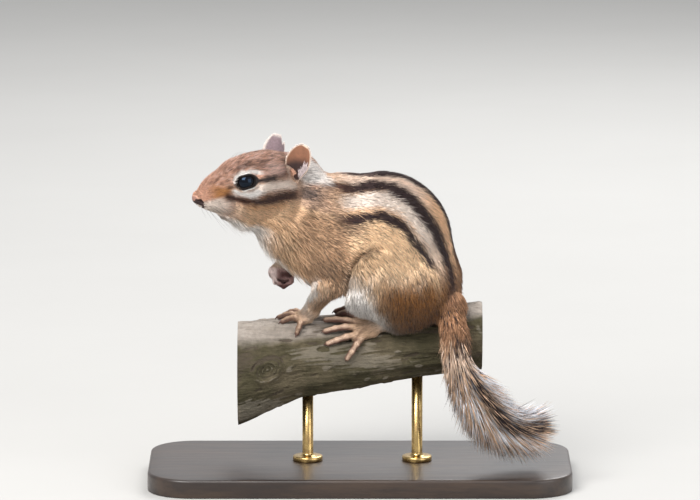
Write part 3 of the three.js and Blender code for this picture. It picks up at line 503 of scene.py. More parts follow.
def head_turn(v):
    """A direction of the head's frame in the body's frame."""
    c, s = math.cos(HEAD_YAW), math.sin(HEAD_YAW)
    v = np.asarray(v, float)
    return np.stack([c * v[..., 0] - s * v[..., 1], s * v[..., 0] + c * v[..., 1], v[..., 2]], axis=-1)


def mirrored(h):
    """Points of the head's frame with its right side laid on its left."""
    return np.stack([h[:, 0], np.abs(h[:, 1]), h[:, 2]], axis=1)


def from_head(p):
    """Points of the head's frame in the body's frame."""
    return head_turn(p) + HEAD_ORIGIN


def on_bark(x, tilt, lift):
    """The point of the bark at x, turned by tilt from its top to the near side, and lifted off it."""
    angle = math.pi / 2 + tilt
    r = plain_radius(x, angle) + lift
    return np.array([x, BRANCH_SIDE + r * math.cos(angle), stops(BRANCH_AXIS, x) + r * math.sin(angle)])


def both_sides(part, melt, a, ra, b, rb, wide, lie, hair):
    """A mass on the left and its mirror image on the right."""
    sides = [[[v[0], s * v[1], v[2]] for v in (a, b, lie)] for s in (-1, 1)]
    return [(part, melt, a, ra, b, rb, wide, lie, hair) for a, b, lie in sides]


torso_rows = [
    ("torso", 6, [15.8, 0, 35.4], 24.9, [6, 0, 36.8], 21.8, 0.76, [1, 0, -0.12], 5.5),
    ("torso", 6, [20, 0, 31.8], 24.7, [29.6, 0, 18.8], 19.1, 0.82, [0.5, 0, -0.85], 5.5),
    ("torso", 8, [6, 0, 36], 20.2, [-8, 0, 37.4], 18.6, 0.76, [1, 0, -0.15], 5.5),
    ("torso", 6, [-4, 0, 26], 14.6, [12, 0, 24], 14.6, 0.95, [0.9, 0, -0.3], 6.5),
    ("torso", 8, [-7.4, 0, 40], 19, [-17.5, 0, 45.6], 17, 0.76, [0.85, 0, -0.5], 5),
    ("torso", 6, [-20.5, 0, 39.2], 13.4, [-9, 0, 34], 14.5, 0.9, [0.4, 0, -0.9], 6.5),
]
LID = 0.75
head_rows = [
    ("head", 4, [3, 0, 2.8], 11.6, [-10, 0, 3.4], 11.3, 1.0, [1, 0, 0], 3.6),
    ("head", 4, [-10, 0, 3.4], 11.2, [-17, 0, 2.6], 11, 0.93, [1, 0, 0.12], 2.6),
    ("head", 4, [-17, 0, 2.5], 10.8, [-22, 0, 1.8], 9.9, 0.9, [1, 0, 0.12], 2.6),
    ("head", 3, [-22, 0, 1.7], 9.8, [-30, 0, -0.2], 7.1, 0.84, [1, 0, 0.2], 2),
    ("head", 3, [-30, 0, -0.2], 7, [-37.8, 0, -2], 3.1, 0.95, [1, 0, 0.25], 1.3),
    *both_sides("head", 1.5, [-35.8, 1.7, -4.3], 2.7, [-28, 3.8, -3.8], 4.5, 1, [1, 0.3, -0.1], 1.5),
    ("head", 1.5, [-33.8, 0, -6], 2, [-20, 0, -8.8], 5.8, 1, [1, 0, -0.2], 2.2),
    *both_sides("head", 4, [-17, 4.2, -4], 8, [-5, 5, -3.6], 9.4, 0.95, [1, 0.1, -0.25], 3.6),
    ("head", 4, [-16, 0, -7.4], 9.4, [-5, 0, -8], 13, 0.84, [0.9, 0, -0.35], 4.4),
    *both_sides("head", 1.6, list(EYE_CENTRE), EYE_RADIUS + LID, [-20.7, 7.7, 4.6], EYE_RADIUS + LID, 1,
                [1, 0, 0.05], 0.2),
]


def sole(part, heel, ball, tilt, splay):
    """A hind foot on the bark, from its heel to the roots of its toes."""
    rows = [(heel, tilt, 3.2, 3.7, heel + (ball - heel) * 0.6, tilt, 2.2, 3)]
    middle = heel + (ball - heel) * 0.55
    rows += [(middle, tilt + k * splay * 0.6, 2, 2.3, ball, tilt + k * splay, 1.7, 1.9) for k in (-1, 0, 1)]
    return [
        (part, 2, on_bark(x, t, h), r, on_bark(x2, t2, h2), r2, 1, [-1, 0, -0.1], 1.5)
        for x, t, h, r, x2, t2, h2, r2 in rows
    ]


limb_rows = [
    ("foreleg_left", 5, [-5, -8.2, 30], 10.5, [-4.2, -9, 18], 7, 0.68, [0.25, 0, -1], 5),
    ("foreleg_left", 3, [-4.4, -8.6, 17], 6, [-11.6, -1.8, 4.2], 3.3, 0.9, [-0.5, 0, -1], 2.6),
    ("forefoot_left", 2, [-11.2, -1.6, 4], 3.2, on_bark(-16.5, 0.26, 1.7), 2.3, 1.1, [-1, 0, -0.3], 1.2),
    ("forefoot_left", 1.5, on_bark(-13.5, 0.2, 1.8), 2.1, on_bark(-17.6, 0.08, 1.3), 1.7, 1.1,
     [-1, 0, 0], 0.9),
    ("forefoot_left", 1.5, on_bark(-12.5, 0.36, 1.8), 2.1, on_bark(-15.4, 0.46, 1.3), 1.7, 1.1,
     [-1, 0, 0], 0.9),
    ("foreleg_right", 5, [-5, 8.2, 30], 10.5, [-7, 9.6, 25], 6.5, 0.68, [0, 0, -1], 5),
    ("foreleg_right", 3, [-7, 9.4, 24.5], 5.2, [-20.6, 6, 22.6], 3.6, 0.9, [-1, 0, -0.4], 2.6),
    ("forefoot_right", 1.5, [-22, 5.6, 22], 3.3, [-26, 4.8, 18.6], 2.9, 1.25, [-0.7, 0, -0.7], 1.4),
    ("forefoot_right", 1.5, [-25.4, 4.9, 18.2], 2.7, [-21.6, 5, 16.6], 2.3, 1.3, [-0.7, 0, -0.7], 1),
    ("hindleg_left", 7, [26, -11, 13.4], 15.6, [15.6, -12.4, 17], 12.2, 0.52, [0.15, 0, -1], 6),
    ("hindleg_left", 4, [15, -12.4, 15], 11, [9.4, -12.6, 12], 6.8, 0.62, [-0.1, 0, -1], 5),
    ("hindleg_left", 4, [10, -12, 10.5], 6.4, [22, -8.8, 2], 5, 0.8, [0.3, 0, -0.8], 3),
    *sole("hindfoot_left", 22, 6.4, 0.8, 0.25),
    ("hindleg_right", 7, [26, 11, 13.4], 15.6, [15.6, 12.4, 17], 12.2, 0.52, [0.15, 0, -1], 6),
    ("hindleg_right", 4, [15, 12.4, 15], 11, [10.4, 12, 13], 6.8, 0.62, [-0.1, 0, -1], 5),
    ("hindleg_right", 4, [11, 11.5, 12], 6.4, [25, 8, 8], 5, 0.8, [0.3, 0, -0.8], 3),
    *sole("hindfoot_right", 25, 10, -0.2, 0.2),
    ("tail_root", 5, [36, 0, 17], 10.6, [42, -4.5, 9], 7.4, 1, [0.4, -0.2, -1], 6),
    ("tail_root", 5, [35, 0, 10], 9, [43, -6, 6.4], 6.6, 1, [0.6, -0.3, -0.9], 6),
    ("tail_root", 2, [43, -6, 6.4], 6.4, [45.4, -12.8, -1.4], 5.4, 1, [0.2, -0.4, -1], 6.5),
    ("tail_root", 2, [45.4, -12.8, -1.4], 5.4, [46.2, -15.6, -10], 4.9, 1, [0.1, -0.3, -1], 8),
]

# Toes and fingers as [start x, start tilt, tip x, tip tilt, knuckle height] on the bark
HIND_TOE_RADIUS = 1.45
FORE_TOE_RADIUS = 1.25
FINGER_RADIUS = 1.0
BARK_TOES = {
    "hindfoot_left": [
        [8, 0.5, -0.6, 0.06, 1.6],
        [6.8, 0.58, -5.6, 0.4, 1.3],
        [6, 0.76, -5.8, 0.76, 1.3],
        [6.2, 0.95, -4.8, 1.1, 1.3],
        [8.6, 1.06, 3, 1.52, 1.4],
    ],
    "hindfoot_right": [
        [12, -0.06, 5.6, 0.22, 1.2],
        [10.6, -0.1, 0.2, -0.02, 1.2],
        [10, -0.2, -1.4, -0.22, 1.2],
        [10.2, -0.32, -0.6, -0.46, 1.2],
        [12, -0.4, 4.6, -0.76, 1.2],
    ],
    "forefoot_left": [
        [-15.6, 0.04, -21.6, -0.16, 0.9],
        [-17, 0.14, -24.4, 0.04, 1],
        [-17, 0.3, -23, 0.36, 1],
        [-15, 0.46, -17.2, 0.74, 1.1],
    ],
}


def bark_toe(row, radius):
    """A toe's middle line: four points from the foot to its tip, arched over the knuckle."""
    x0, t0, x1, t1, arch = row
    shares = [0, 0.34, 0.68, 1]
    lifts = [radius * 1.15, radius + arch, radius + arch * 0.55, radius * 0.75]
    return np.array([on_bark(x0 + (x1 - x0) * s, t0 + (t1 - t0) * s, h) for s, h in zip(shares, lifts)])


def curled_finger(i):
    """A finger of the lifted paw, bent back under the palm."""
    y = 1.9 + i * 1.95
    reach = [0.2, 0.9, 0.7, -0.3][i]
    return np.array([
        [-26.8, y * 0.9 + 0.5, 18.6],
        [-26, y, 15],
        [-22.6, y, 13.2 - reach * 0.4],
        [-19.8 + reach * 0.5, y + 0.1, 14.8],
        [-19.4 + reach * 0.5, y + 0.15, 17.4],
    ])


digits = []
for foot, rows in BARK_TOES.items():
    size = FORE_TOE_RADIUS if foot.startswith("fore") else HIND_TOE_RADIUS
    for row in rows:
        tilt = row[1] + (row[3] - row[1]) * 0.7
        digits.append((foot, bark_toe(row, size), size, np.array([0, -math.sin(tilt), math.cos(tilt)])))
for i in range(4):
    digits.append(("forefoot_right", curled_finger(i), FINGER_RADIUS, np.array([0, 1.0, 0])))
thumb = np.array([[-23, 2.6, 20.2], [-21.4, 1.9, 18.6], [-20.4, 1.9, 17]])


def digit_rows(part, points, size):
    """A toe's masses: thick at the knuckles, slimmer between them, with a full pad at the tip."""
    last = len(points) - 2
    rows = []
    for i in range(last + 1):
        ahead = points[i + 1] - points[i]
        thick = size * (1.04 - 0.06 * i)
        rows.append((part, 0.5, points[i], thick, points[i + 1], thick * 0.93, 1, list(ahead), 0.5))
    return rows


toe_rows = [row for part, points, size, _ in digits for row in digit_rows(part, points, size)]
toe_rows += digit_rows("forefoot_right", thumb, FINGER_RADIUS)

# The tail's own body under its long hair, from its root over the branch's shoulder to its tip
TAIL = np.array([
    [46.2, -15.6, -10], [47.6, -16.4, -15.5], [50.2, -16.8, -21], [53.6, -16.8, -27],
    [57.2, -16.4, -32.6], [61.6, -15.4, -37.4], [67.2, -14, -40.6], [73.6, -12.4, -42],
])
core = np.linspace(4.9, 1.8, len(TAIL)) + COAT_SHARE * 5
tail_rows = [
    ("tail", 1.5, TAIL[i], core[i], TAIL[i + 1], core[i + 1], 1, list(TAIL[i + 1] - TAIL[i]), 5)
    for i in range(len(TAIL) - 2)
]

masses = [(row, False) for row in torso_rows]
masses += [(row, True) for row in head_rows]
masses += [(row, False) for row in [*limb_rows, *toe_rows, *tail_rows]]


def capsule(row, x, y, z, skin=True):
    """Distance to a tapered capsule whose width across Y is stretched by its share.

    It is the distance to the nearest point of the middle line, less the radius there, over how fast that
    distance grows. The trunk's capsules lean that point towards the thick end, which makes their sides
    touch both end balls. The skin's radius is less than the coat's by a share of the hair's length.
    """
    part, _, a, ra, b, rb, wide, _, hair = row
    if skin:
        ra, rb = ra - COAT_SHARE * hair, rb - COAT_SHARE * hair
    d = [b[i] - a[i] for i in range(3)]
    long = math.sqrt(d[0] ** 2 + d[1] ** 2 + d[2] ** 2)
    t = ((x - a[0]) * d[0] + (y - a[1]) * d[1] + (z - a[2]) * d[2]) / long ** 2
    if part == "torso":
        off = [x - a[0] - t * d[0], (y - a[1] - t * d[1]) / wide, z - a[2] - t * d[2]]
        sine = (ra - rb) / long
        t = t - np.sqrt(off[0] ** 2 + off[1] ** 2 + off[2] ** 2) * sine / math.sqrt(1 - sine * sine) / long
    t = np.clip(t, 0, 1)
    qx = x - a[0] - t * d[0]
    qy = (y - a[1] - t * d[1]) / wide
    qz = z - a[2] - t * d[2]
    far = np.sqrt(qx * qx + qy * qy + qz * qz) + 1e-6
    steep = np.sqrt(qx * qx + (qy / wide) ** 2 + qz * qz) / far
    return (far - (ra + (rb - ra) * t)) / np.maximum(steep, 0.3)


def reach_of(row, in_head, margin):
    """The box round a mass, in the body's frame."""
    ends = np.array([row[2], row[4]], float)
    if in_head:
        ends = from_head(ends)
    far = max(row[3], row[5]) + margin
    return ends.min(axis=0) - far, ends.max(axis=0) + far


def soft_min(a, b, k):
    """The lesser of two distances, rounded off where they differ by less than k."""
    h = np.maximum(k - np.abs(a - b), 0) / k
    return np.minimum(a, b) - h * h * k / 4


def skin_distance(p):
    """The distance of points from the skin: every mass melted into the ones before it."""
    d = np.full(len(p), 30.0)
    h = to_head(p)
    for row, in_head in masses:
        low, high = reach_of(row, in_head, 7)
        near = np.flatnonzero(((p > low) & (p < high)).all(axis=1))
        q = (h if in_head else p)[near]
        d[near] = soft_min(d[near], capsule(row, q[:, 0], q[:, 1], q[:, 2]), row[1])
    return d


def slope(field, p, step=0.12):
    """A field's value and gradient at points, from its values a small step away along each axis."""
    d = field(p)
    g = np.stack([field(p + step * np.eye(3)[i]) - d for i in range(3)], axis=1) / step
    return d, g


def spaced(stops_of_cell):
    """Grid lines whose spacing changes along an axis: rows of start and spacing, and the end."""
    lines = [np.arange(a, b, cell) for (a, cell), (b, _) in zip(stops_of_cell, stops_of_cell[1:])]
    return np.concatenate([*lines, [stops_of_cell[-1][0]]])


grid_x = spaced([(-64, 0.5), (24, 0.85), (72, 1)])
grid_y = spaced([(-27, 0.65), (27, 1)])
grid_z = spaced([(-45, 1.1), (-14, 0.48), (8, 0.8), (12, 0.5), (24, 0.85), (42, 0.6), (74, 1)])


def skin_on_grid():
    """The skin's distance at every grid point, each mass only in its own box."""
    d = np.full((len(grid_x), len(grid_y), len(grid_z)), 30.0, np.float32)
    for row, in_head in masses:
        low, high = reach_of(row, in_head, 5)
        cut_x = slice(*np.searchsorted(grid_x, [low[0], high[0]]))
        cut_y = slice(*np.searchsorted(grid_y, [low[1], high[1]]))
        cut_z = slice(*np.searchsorted(grid_z, [low[2], high[2]]))
        x = grid_x[cut_x][:, None, None].astype(np.float32)
        y = grid_y[cut_y][None, :, None].astype(np.float32)
        z = grid_z[cut_z][None, None, :].astype(np.float32)
        if in_head:
            c, s = np.float32(math.cos(HEAD_YAW)), np.float32(math.sin(HEAD_YAW))
            x, y = x - np.float32(HEAD_ORIGIN[0]), y - np.float32(HEAD_ORIGIN[1])
            x, y, z = c * x + s * y, c * y - s * x, z - np.float32(HEAD_ORIGIN[2])
        block = (cut_x, cut_y, cut_z)
        d[block] = soft_min(d[block], capsule(row, x, y, z), row[1])
    return d


def surface_of(d):
    """The zero surface of a grid: a corner in each crossed cell, at the mean of its crossings, and a
    quad across each crossed grid edge."""
    inside = d < 0
    count = sum(
        inside[i:i - 1 or None, j:j - 1 or None, k:k - 1 or None].astype(np.int8)
        for i in (0, 1) for j in (0, 1) for k in (0, 1)
    )
    cell = np.argwhere((count > 0) & (count < 8))
    number = np.full(count.shape, -1, np.int64)
    number[tuple(cell.T)] = np.arange(len(cell))
    total = np.zeros((len(cell), 3))
    hits = np.zeros(len(cell))
    corners = np.array([[i, j, k] for i in (0, 1) for j in (0, 1) for k in (0, 1)])
    pairs = [(a, b) for a in corners for b in corners if (b - a).sum() == 1 and (b >= a).all()]
    for a, b in pairs:
        va = d[tuple((cell + a).T)]
        vb = d[tuple((cell + b).T)]
        crossed = (va < 0) != (vb < 0)
        t = np.where(crossed, va / np.where(crossed, va - vb, 1), 0)
        total += np.where(crossed[:, None], a + t[:, None] * (b - a), 0)
        hits += crossed
    spot = cell + total / hits[:, None]
    lines = [grid_x, grid_y, grid_z]
    corners = np.stack([np.interp(spot[:, i], np.arange(len(lines[i])), lines[i]) for i in range(3)], axis=1)
    quads = []
    for axis in range(3):
        u, v = (axis + 1) % 3, (axis + 2) % 3
        here = [slice(1, -1)] * 3
        ahead = [slice(1, -1)] * 3
        here[axis] = slice(0, -1)
        ahead[axis] = slice(1, None)
        start, end = inside[tuple(here)], inside[tuple(ahead)]
        at = np.argwhere(start != end) + [0 if i == axis else 1 for i in range(3)]
        flip = start[start != end]
        back_u, back_v = np.eye(3, dtype=int)[u], np.eye(3, dtype=int)[v]
        ring = [at, at - back_u, at - back_u - back_v, at - back_v]
        quad = np.stack([number[tuple(r.T)] for r in ring], axis=1)
        quad[~flip] = quad[~flip][:, ::-1]
        quads.append(quad[(quad >= 0).all(axis=1)])
    return corners, np.concatenate(quads)


# Face lines, in the head's frame: the mouth's and the nostrils' paths, the groove under the nose, and
# how wide the eye opens from its axis, in degrees, to the front, back, top and bottom.
MOUTH = [[-38, -5.2], [-35.4, -7], [-32.2, -8.4], [-29, -9.4], [-26.4, -10]]
NOSTRIL = [[-39.4, 1.5, -2.6], [-38.2, 2.5, -2.7], [-37.2, 2.9, -3.6]]
PHILTRUM = [[-40.2, 0, -3], [-39.6, 0, -4.2], [-38.4, 0, -5]]
NOSTRIL_WEDGE = [[-40, 1, -3.8], [-38.6, 2.2, -3.7], [-37.6, 2.9, -4.6], [-37.1, 2.8, -6.4]]
EAR_HOLE = [[-3, 10.8, 11.4], [-1.8, 10.9, 8.4], [-0.9, 10.8, 5.4]]
THIGH_FOLD = [[4, 9], [3.4, 15], [3.4, 21], [4.8, 25.6], [7, 29.8], [10.6, 32.2], [15, 33.2], [21, 32.6]]
EYE_OPEN = {"front": 70, "back": 62, "up": 37, "down": 34}
EYE_DROOP = math.radians(12)


def from_path(points, path):
    """How far points are from a path of straight pieces, and how far along it, from 0 to 1."""
    path = np.array(path, float)
    best = np.full(len(points), 1e9)
    place = np.zeros(len(points))
    for i in range(len(path) - 1):
        d = path[i + 1] - path[i]
        t = np.clip(((points - path[i]) @ d) / (d @ d), 0, 1)
        far = np.linalg.norm(points - path[i] - t[:, None] * d, axis=1)
        place = np.where(far < best, (i + t) / (len(path) - 1), place)
        best = np.minimum(best, far)
    return best, place


def eye_frame(side):
    """An eye's middle, its axis, its nose-ward direction and its upward one, in the head's frame."""
    centre = EYE_CENTRE * [1, side, 1]
    axis = EYE_AXIS * [1, side, 1]
    axis = axis / np.linalg.norm(axis)
    nose = np.array([-math.cos(EYE_DROOP), 0, -math.sin(EYE_DROOP)])
    nose = nose - (nose @ axis) * axis
    nose = nose / np.linalg.norm(nose)
    up = np.cross(axis, nose)
    return centre, axis, nose, up * math.copysign(1, up[2])


def eye_opening(psi):
    """The lids' edge as an angle from the eye's axis: an almond, by the angle round the axis."""
    c, s = np.cos(psi), np.sin(psi)
    wide = np.where(c > 0, EYE_OPEN["front"], EYE_OPEN["back"])
    tall = np.where(s > 0, EYE_OPEN["up"], EYE_OPEN["down"])
    return np.radians(np.hypot(wide * c, tall * s) * (1 - 0.12 * np.abs(s * c)))


def eye_angles(h, side):
    """Points of the head by an eye: distance from its middle, angle from its axis and angle round it."""
    centre, axis, nose, up = eye_frame(side)
    d = h - centre
    far = np.linalg.norm(d, axis=1) + 1e-9
    polar = np.arccos(np.clip(d @ axis / far, -1, 1))
    return far, polar, np.arctan2(d @ up, d @ nose)


def face_relief(h):
    """Folds of the bare face under the fur, in millimetres outwards.

    The mouth is a groove over a fuller lower lip, the nostrils are commas, a fold runs round each eye,
    in front of it and under it, and the skull is hollow where an ear opens.
    """
    flat = h[:, [0, 2]]
    mouth, place = from_path(flat, MOUTH)
    low, _ = from_path(flat, np.array(MOUTH) - [0, 1.1])
    on_muzzle = rise(-h[:, 0], 22, 27)
    groove = -0.75 * bell(mouth, 0.34) * fall(place, 0.85, 1) * on_muzzle
    lip = 0.3 * bell(low, 0.8) * on_muzzle
    folded = mirrored(h)
    nostril, _ = from_path(folded, NOSTRIL)
    wing, _ = from_path(folded, np.array(NOSTRIL) + [0.5, 0.9, 0.7])
    under, _ = from_path(folded, PHILTRUM)
    nose = -1.0 * bell(nostril, 0.42) + 0.3 * bell(wing, 0.7)
    nose -= 0.5 * bell(under, 0.3)
    total = (groove + lip + nose) * fall(h[:, 0], -10, -4)
    hole, _ = from_path(folded, EAR_HOLE)
    total -= 2.4 * np.exp(-((hole / 1.5) ** 4))
    for s in (-1, 1):
        far, polar, psi = eye_angles(h, s)
        near = fall(far, 5.5, 8)
        over = polar - eye_opening(psi)
        total -= 0.28 * bell(over - 0.42, 0.1) * near
        total += 0.18 * bell(over - 0.62, 0.16) * near
    return total


def thigh_relief(p):
    """The fold where the thigh meets the flank: a groove outside it and a fuller edge inside, in
    millimetres outwards, shallower towards the rump."""
    fold, place = from_path(p[:, [0, 2]], THIGH_FOLD)
    inner, _ = from_path(p[:, [0, 2]], np.array(THIGH_FOLD) + [3, -1.6])
    depth = rise(np.abs(p[:, 1]), 8, 11) * fall(place, 0.6, 1) * rise(place, 0, 0.15)
    return depth * (0.7 * bell(inner, 2.2) - 2.3 * bell(fold, 1.5))


def refine(mesh, chosen):
    """Cuts every edge of the chosen faces in two, and each chosen quad into four."""
    work = bmesh.new()
    work.from_mesh(mesh)
    work.faces.ensure_lookup_table()
    edges = {e for f in np.flatnonzero(chosen) for e in work.faces[f].edges}
    bmesh.ops.subdivide_edges(work, edges=list(edges), cuts=1, use_grid_fill=True)
    work.to_mesh(mesh)
    work.free()


def corners_of(mesh):
    """A mesh's corners in millimetres about the crest."""
    held = np.empty(len(mesh.vertices) * 3, np.float32)
    mesh.vertices.foreach_get("co", held)
    return held.reshape(-1, 3).astype(float) * 1000 - CREST


def middles_of(mesh):
    """The middle of each face, in millimetres about the crest."""
    held = np.empty(len(mesh.polygons) * 3, np.float32)
    mesh.polygons.foreach_get("center", held)
    return held.reshape(-1, 3).astype(float) * 1000 - CREST


def settle(p):
    """Corners moved twice along the field's gradient, which brings them onto the skin."""
    for _ in range(2):
        d, g = slope(skin_distance, p)
        size = np.maximum((g * g).sum(axis=1), 0.05)
        p = p - (np.clip(d, -0.4, 0.4) / size)[:, None] * g
    return p


hide = Finish("skin_under_the_coat", Roughness=0.7, Specular_IOR_Level=0.3)
colour = hide.node("Attribute", {"attribute_name": "markings"}, {}, "Color")
bare = hide.node("Attribute", {"attribute_name": "bareness"}, {}, "Fac")
where = hide.place()
fine = hide.noise(where, 1400, 4, 0.7)
pebbles = hide.node("TexVoronoi", {"feature": "DISTANCE_TO_EDGE"}, {"Vector": where, "Scale": 2300})
hair_grain = hide.noise(where, 3200, 2, 0.6)
hide.feed(Base_Color=hide.shade(colour, 0.72 + 0.3 * fine + 0.12 * hair_grain), Roughness=0.75 - 0.32 * bare)
hide.relief(bare * hide.between(pebbles, 0, 0.25) + (1 - bare) * hair_grain, 0.00012, 0.6)

corners, quads = surface_of(skin_on_grid())
skin = make_mesh(
    "chipmunk_skin", settle(corners), [quads], hide, "body_fur",
    ["torso", "neck", "head", "foreleg_left", "foreleg_right", "forefoot_left", "forefoot_right",
     "hindleg_left", "hindleg_right", "hindfoot_left", "hindfoot_right", "tail_root"],
)
refine(skin.data, to_head(middles_of(skin.data))[:, 0] < -9)
corners = settle(corners_of(skin.data))
_, outwards = slope(skin_distance, corners)
outwards /= np.linalg.norm(outwards, axis=1, keepdims=True) + 1e-9
in_head = to_head(corners)
on_face = fall(in_head[:, 0], -10, -4)
corners = corners + outwards * (face_relief(in_head) + thigh_relief(corners))[:, None]
in_head = to_head(corners)
for side in (-1, 1):
    far, polar, psi = eye_angles(in_head, side)
    open_here = (polar < eye_opening(psi)) & (far < 7)
    centre = eye_frame(side)[0]
    shrunk = centre + (in_head - centre) * ((EYE_RADIUS - 0.5) / far)[:, None]
    in_head = np.where(open_here[:, None], shrunk, in_head)
corners = np.where((on_face > 0)[:, None], from_head(in_head), corners)
skin.data.vertices.foreach_set("co", ((corners + CREST) / 1000).astype(np.float32).ravel())
skin.data.update()


# The markings: a dark line down the middle of the back and two at each side of it, with orange cream
# and white between, a white ring round the eye, two dark lines on the cheek, white below and a rusty
# rump. The skin and every hair take their colour from them. The colours also hold painted shade: in the
# fold before the thigh, low on the thigh and the far hind foot, along the lips, in the nostrils and the
# ear's hollow, and between the toes and the raised paw's fingers.
def paint(red, green, blue):
    """A colour seen on the coat, as light."""
    c = np.array([red, green, blue], float)
    return np.where(c <= 0.04045, c / 12.92, ((c + 0.055) / 1.055) ** 2.4)


DARK = paint(0.17, 0.13, 0.14)
DARK_BROWN = paint(0.34, 0.23, 0.20)
RUSTY_BROWN = paint(0.58, 0.37, 0.24)
CREAM = paint(0.95, 0.89, 0.84)
PINK_CREAM = paint(0.95, 0.85, 0.77)
ORANGE_CREAM = paint(0.93, 0.77, 0.62)
ORANGE = paint(1.0, 0.86, 0.70)
OCHRE = paint(0.78, 0.55, 0.34)
SHOULDER = paint(0.86, 0.70, 0.56)
SHOULDER_DARK = paint(0.46, 0.36, 0.30)
NAPE = paint(0.78, 0.65, 0.56)
CHEEK = paint(0.90, 0.75, 0.60)
RUST = paint(0.58, 0.37, 0.15)
RUST_SHADED = paint(0.46, 0.31, 0.15)
RUMP = paint(0.58, 0.43, 0.31)
GREY_THIGH = paint(0.86, 0.78, 0.71)
WHITE = paint(0.96, 0.94, 0.92)
LIPS = paint(0.93, 0.87, 0.82)
CROWN = paint(0.88, 0.68, 0.58)
CROWN_LIGHT = paint(0.98, 0.85, 0.80)
MUZZLE = paint(0.84, 0.65, 0.55)
NOSTRIL_SHADE = paint(0.17, 0.10, 0.09)
NOSE_BARE = paint(0.62, 0.47, 0.42)
CHEEK_LINE = paint(0.29, 0.16, 0.11)
EAR_SHADE = paint(0.40, 0.34, 0.32)
EAR_HOLE_SHADE = paint(0.17, 0.11, 0.11)
FOOT = paint(0.80, 0.67, 0.55)
FORELEG = paint(0.94, 0.82, 0.70)
MAROON = paint(0.33, 0.20, 0.19)
MAUVE = paint(0.66, 0.52, 0.50)
PAW_RIM = paint(0.90, 0.82, 0.80)
TOE_TOP_LIT = paint(0.90, 0.78, 0.69)
TOE_SHADE = paint(0.38, 0.25, 0.22)
THIGH_SHADE = paint(0.40, 0.27, 0.17)
LID_EDGE = paint(0.10, 0.07, 0.06)
TAIL_ROOT = paint(0.74, 0.56, 0.43)
TAN_TAIL = paint(0.88, 0.74, 0.62)

SPINE = [
    [-30, 46], [-16, 44], [-4, 39.5], [8, 37], [16, 35], [22, 30], [27, 23], [30.5, 14], [34, 6], [38, 0],
]


def curve(points, t):
    """A smooth line through points at shares of its length: a cubic between each pair, whose slope at a
    point is half the step between its neighbours."""
    points = np.asarray(points, float)
    last = len(points) - 1
    at = np.asarray(t, float) * last
    i = np.clip(at.astype(int), 0, last - 1)
    f = (at - i)[:, None]
    a, b = points[i], points[i + 1]
    before, after = points[np.maximum(i - 1, 0)], points[np.minimum(i + 2, last)]
    return 0.5 * (2 * a + (b - before) * f + (2 * before - 5 * a + 4 * b - after) * f ** 2
                  + (3 * a - before - 3 * b + after) * f ** 3)


spine = curve(SPINE, np.linspace(0, 1, 37))


def round_the_body(p):
    """Place along the body's middle line, from 0 at the nape to 1 at the tail, the angle from the back's
    ridge round to the belly, in radians, and the distance from the middle line, in millimetres."""
    flat = p[:, [0, 2]]
    far, place = from_path(flat, spine)
    i = np.clip((place * (len(spine) - 1)).astype(int), 0, len(spine) - 2)
    ahead = spine[i + 1] - spine[i]
    t = place * (len(spine) - 1) - i
    offset = flat - (spine[i] + t[:, None] * ahead)
    above = ahead[:, 0] * offset[:, 1] - ahead[:, 1] * offset[:, 0]
    angle = np.arctan2(np.abs(p[:, 1]), np.where(above > 0, far, -far))
    return place, angle, np.hypot(far, p[:, 1])


# The stripes of the back, each by points of the coat that its middle passes through
INNER_STRIPE = [
    [-8.8, -8.7, 57.6], [-4, -9.3, 56.9], [2, -10.4, 55.9], [8, -9.3, 56.5], [14, -9.7, 56.5],
    [22, -12.1, 54.5], [26, -13.1, 52.3], [30, -13.6, 49.1], [34, -13.9, 44.7], [37.2, -12.7, 39.6],
    [40, -10.8, 32.8], [42.4, -10.1, 25.3], [43.6, -10.8, 18.1], [43.6, -11.4, 11.8], [43.2, -14.2, 5.8],
]
WHITE_STRIPE = [
    [-4, -13.8, 51.6], [2, -14.5, 50.9], [8, -14.2, 51.6], [14, -14.4, 52.1], [22, -16, 49.9],
    [26, -16.4, 47.6], [30, -16.8, 43.6], [34, -15.8, 38.1], [36.8, -14, 32.1], [39.2, -12.6, 25.8],
]
OUTER_STRIPE = [
    [-4.8, -16.6, 45.2], [0, -17, 44.4], [4.8, -17.3, 44.5], [8.8, -17.3, 45.7], [14, -17.9, 46.4],
    [18, -18.4, 45.5], [22, -18.9, 43.5], [26, -19.3, 40], [29.6, -18.4, 35.7], [32.8, -16.7, 31],
    [36, -15.1, 25.4],
]


def stripe_line(points):
    """A stripe's angle round the body by its place along it."""
    place, angle, _ = round_the_body(np.array(points, float))
    order = np.argsort(place)
    return place[order], angle[order]


inner_line, white_line, outer_line = (stripe_line(row) for row in (INNER_STRIPE, WHITE_STRIPE, OUTER_STRIPE))


parts = np.array([row[0] for row, _ in masses])
lies = np.array([head_turn(row[7]) if in_head else row[7] for row, in_head in masses], float)
lies /= np.linalg.norm(lies, axis=1, keepdims=True)
hairs = np.array([row[8] for row, _ in masses], float)


def shares_of_masses(p, softness=1.2):
    """How much each mass has to say at each point: more where the point is deeper in it or nearer."""
    weight = np.zeros((len(p), len(masses)), np.float32)
    h = to_head(p)
    for i, (row, in_head) in enumerate(masses):
        low, high = reach_of(row, in_head, 7)
        near = np.flatnonzero(((p > low) & (p < high)).all(axis=1))
        q = (h if in_head else p)[near]
        d = capsule(row, q[:, 0], q[:, 1], q[:, 2], False)
        weight[near, i] = np.exp(-np.clip(d, -8, 12) / softness)
    return weight / (weight.sum(axis=1, keepdims=True) + 1e-9)


def share_of(weight, start):
    """The share of the masses whose part's name starts so."""
    return weight[:, np.char.startswith(parts, start)].sum(axis=1)


def share_of_toes(weight):
    """The share of the toes' and fingers' masses."""
    first = len(torso_rows) + len(head_rows) + len(limb_rows)
    return weight[:, first:first + len(toe_rows)].sum(axis=1)


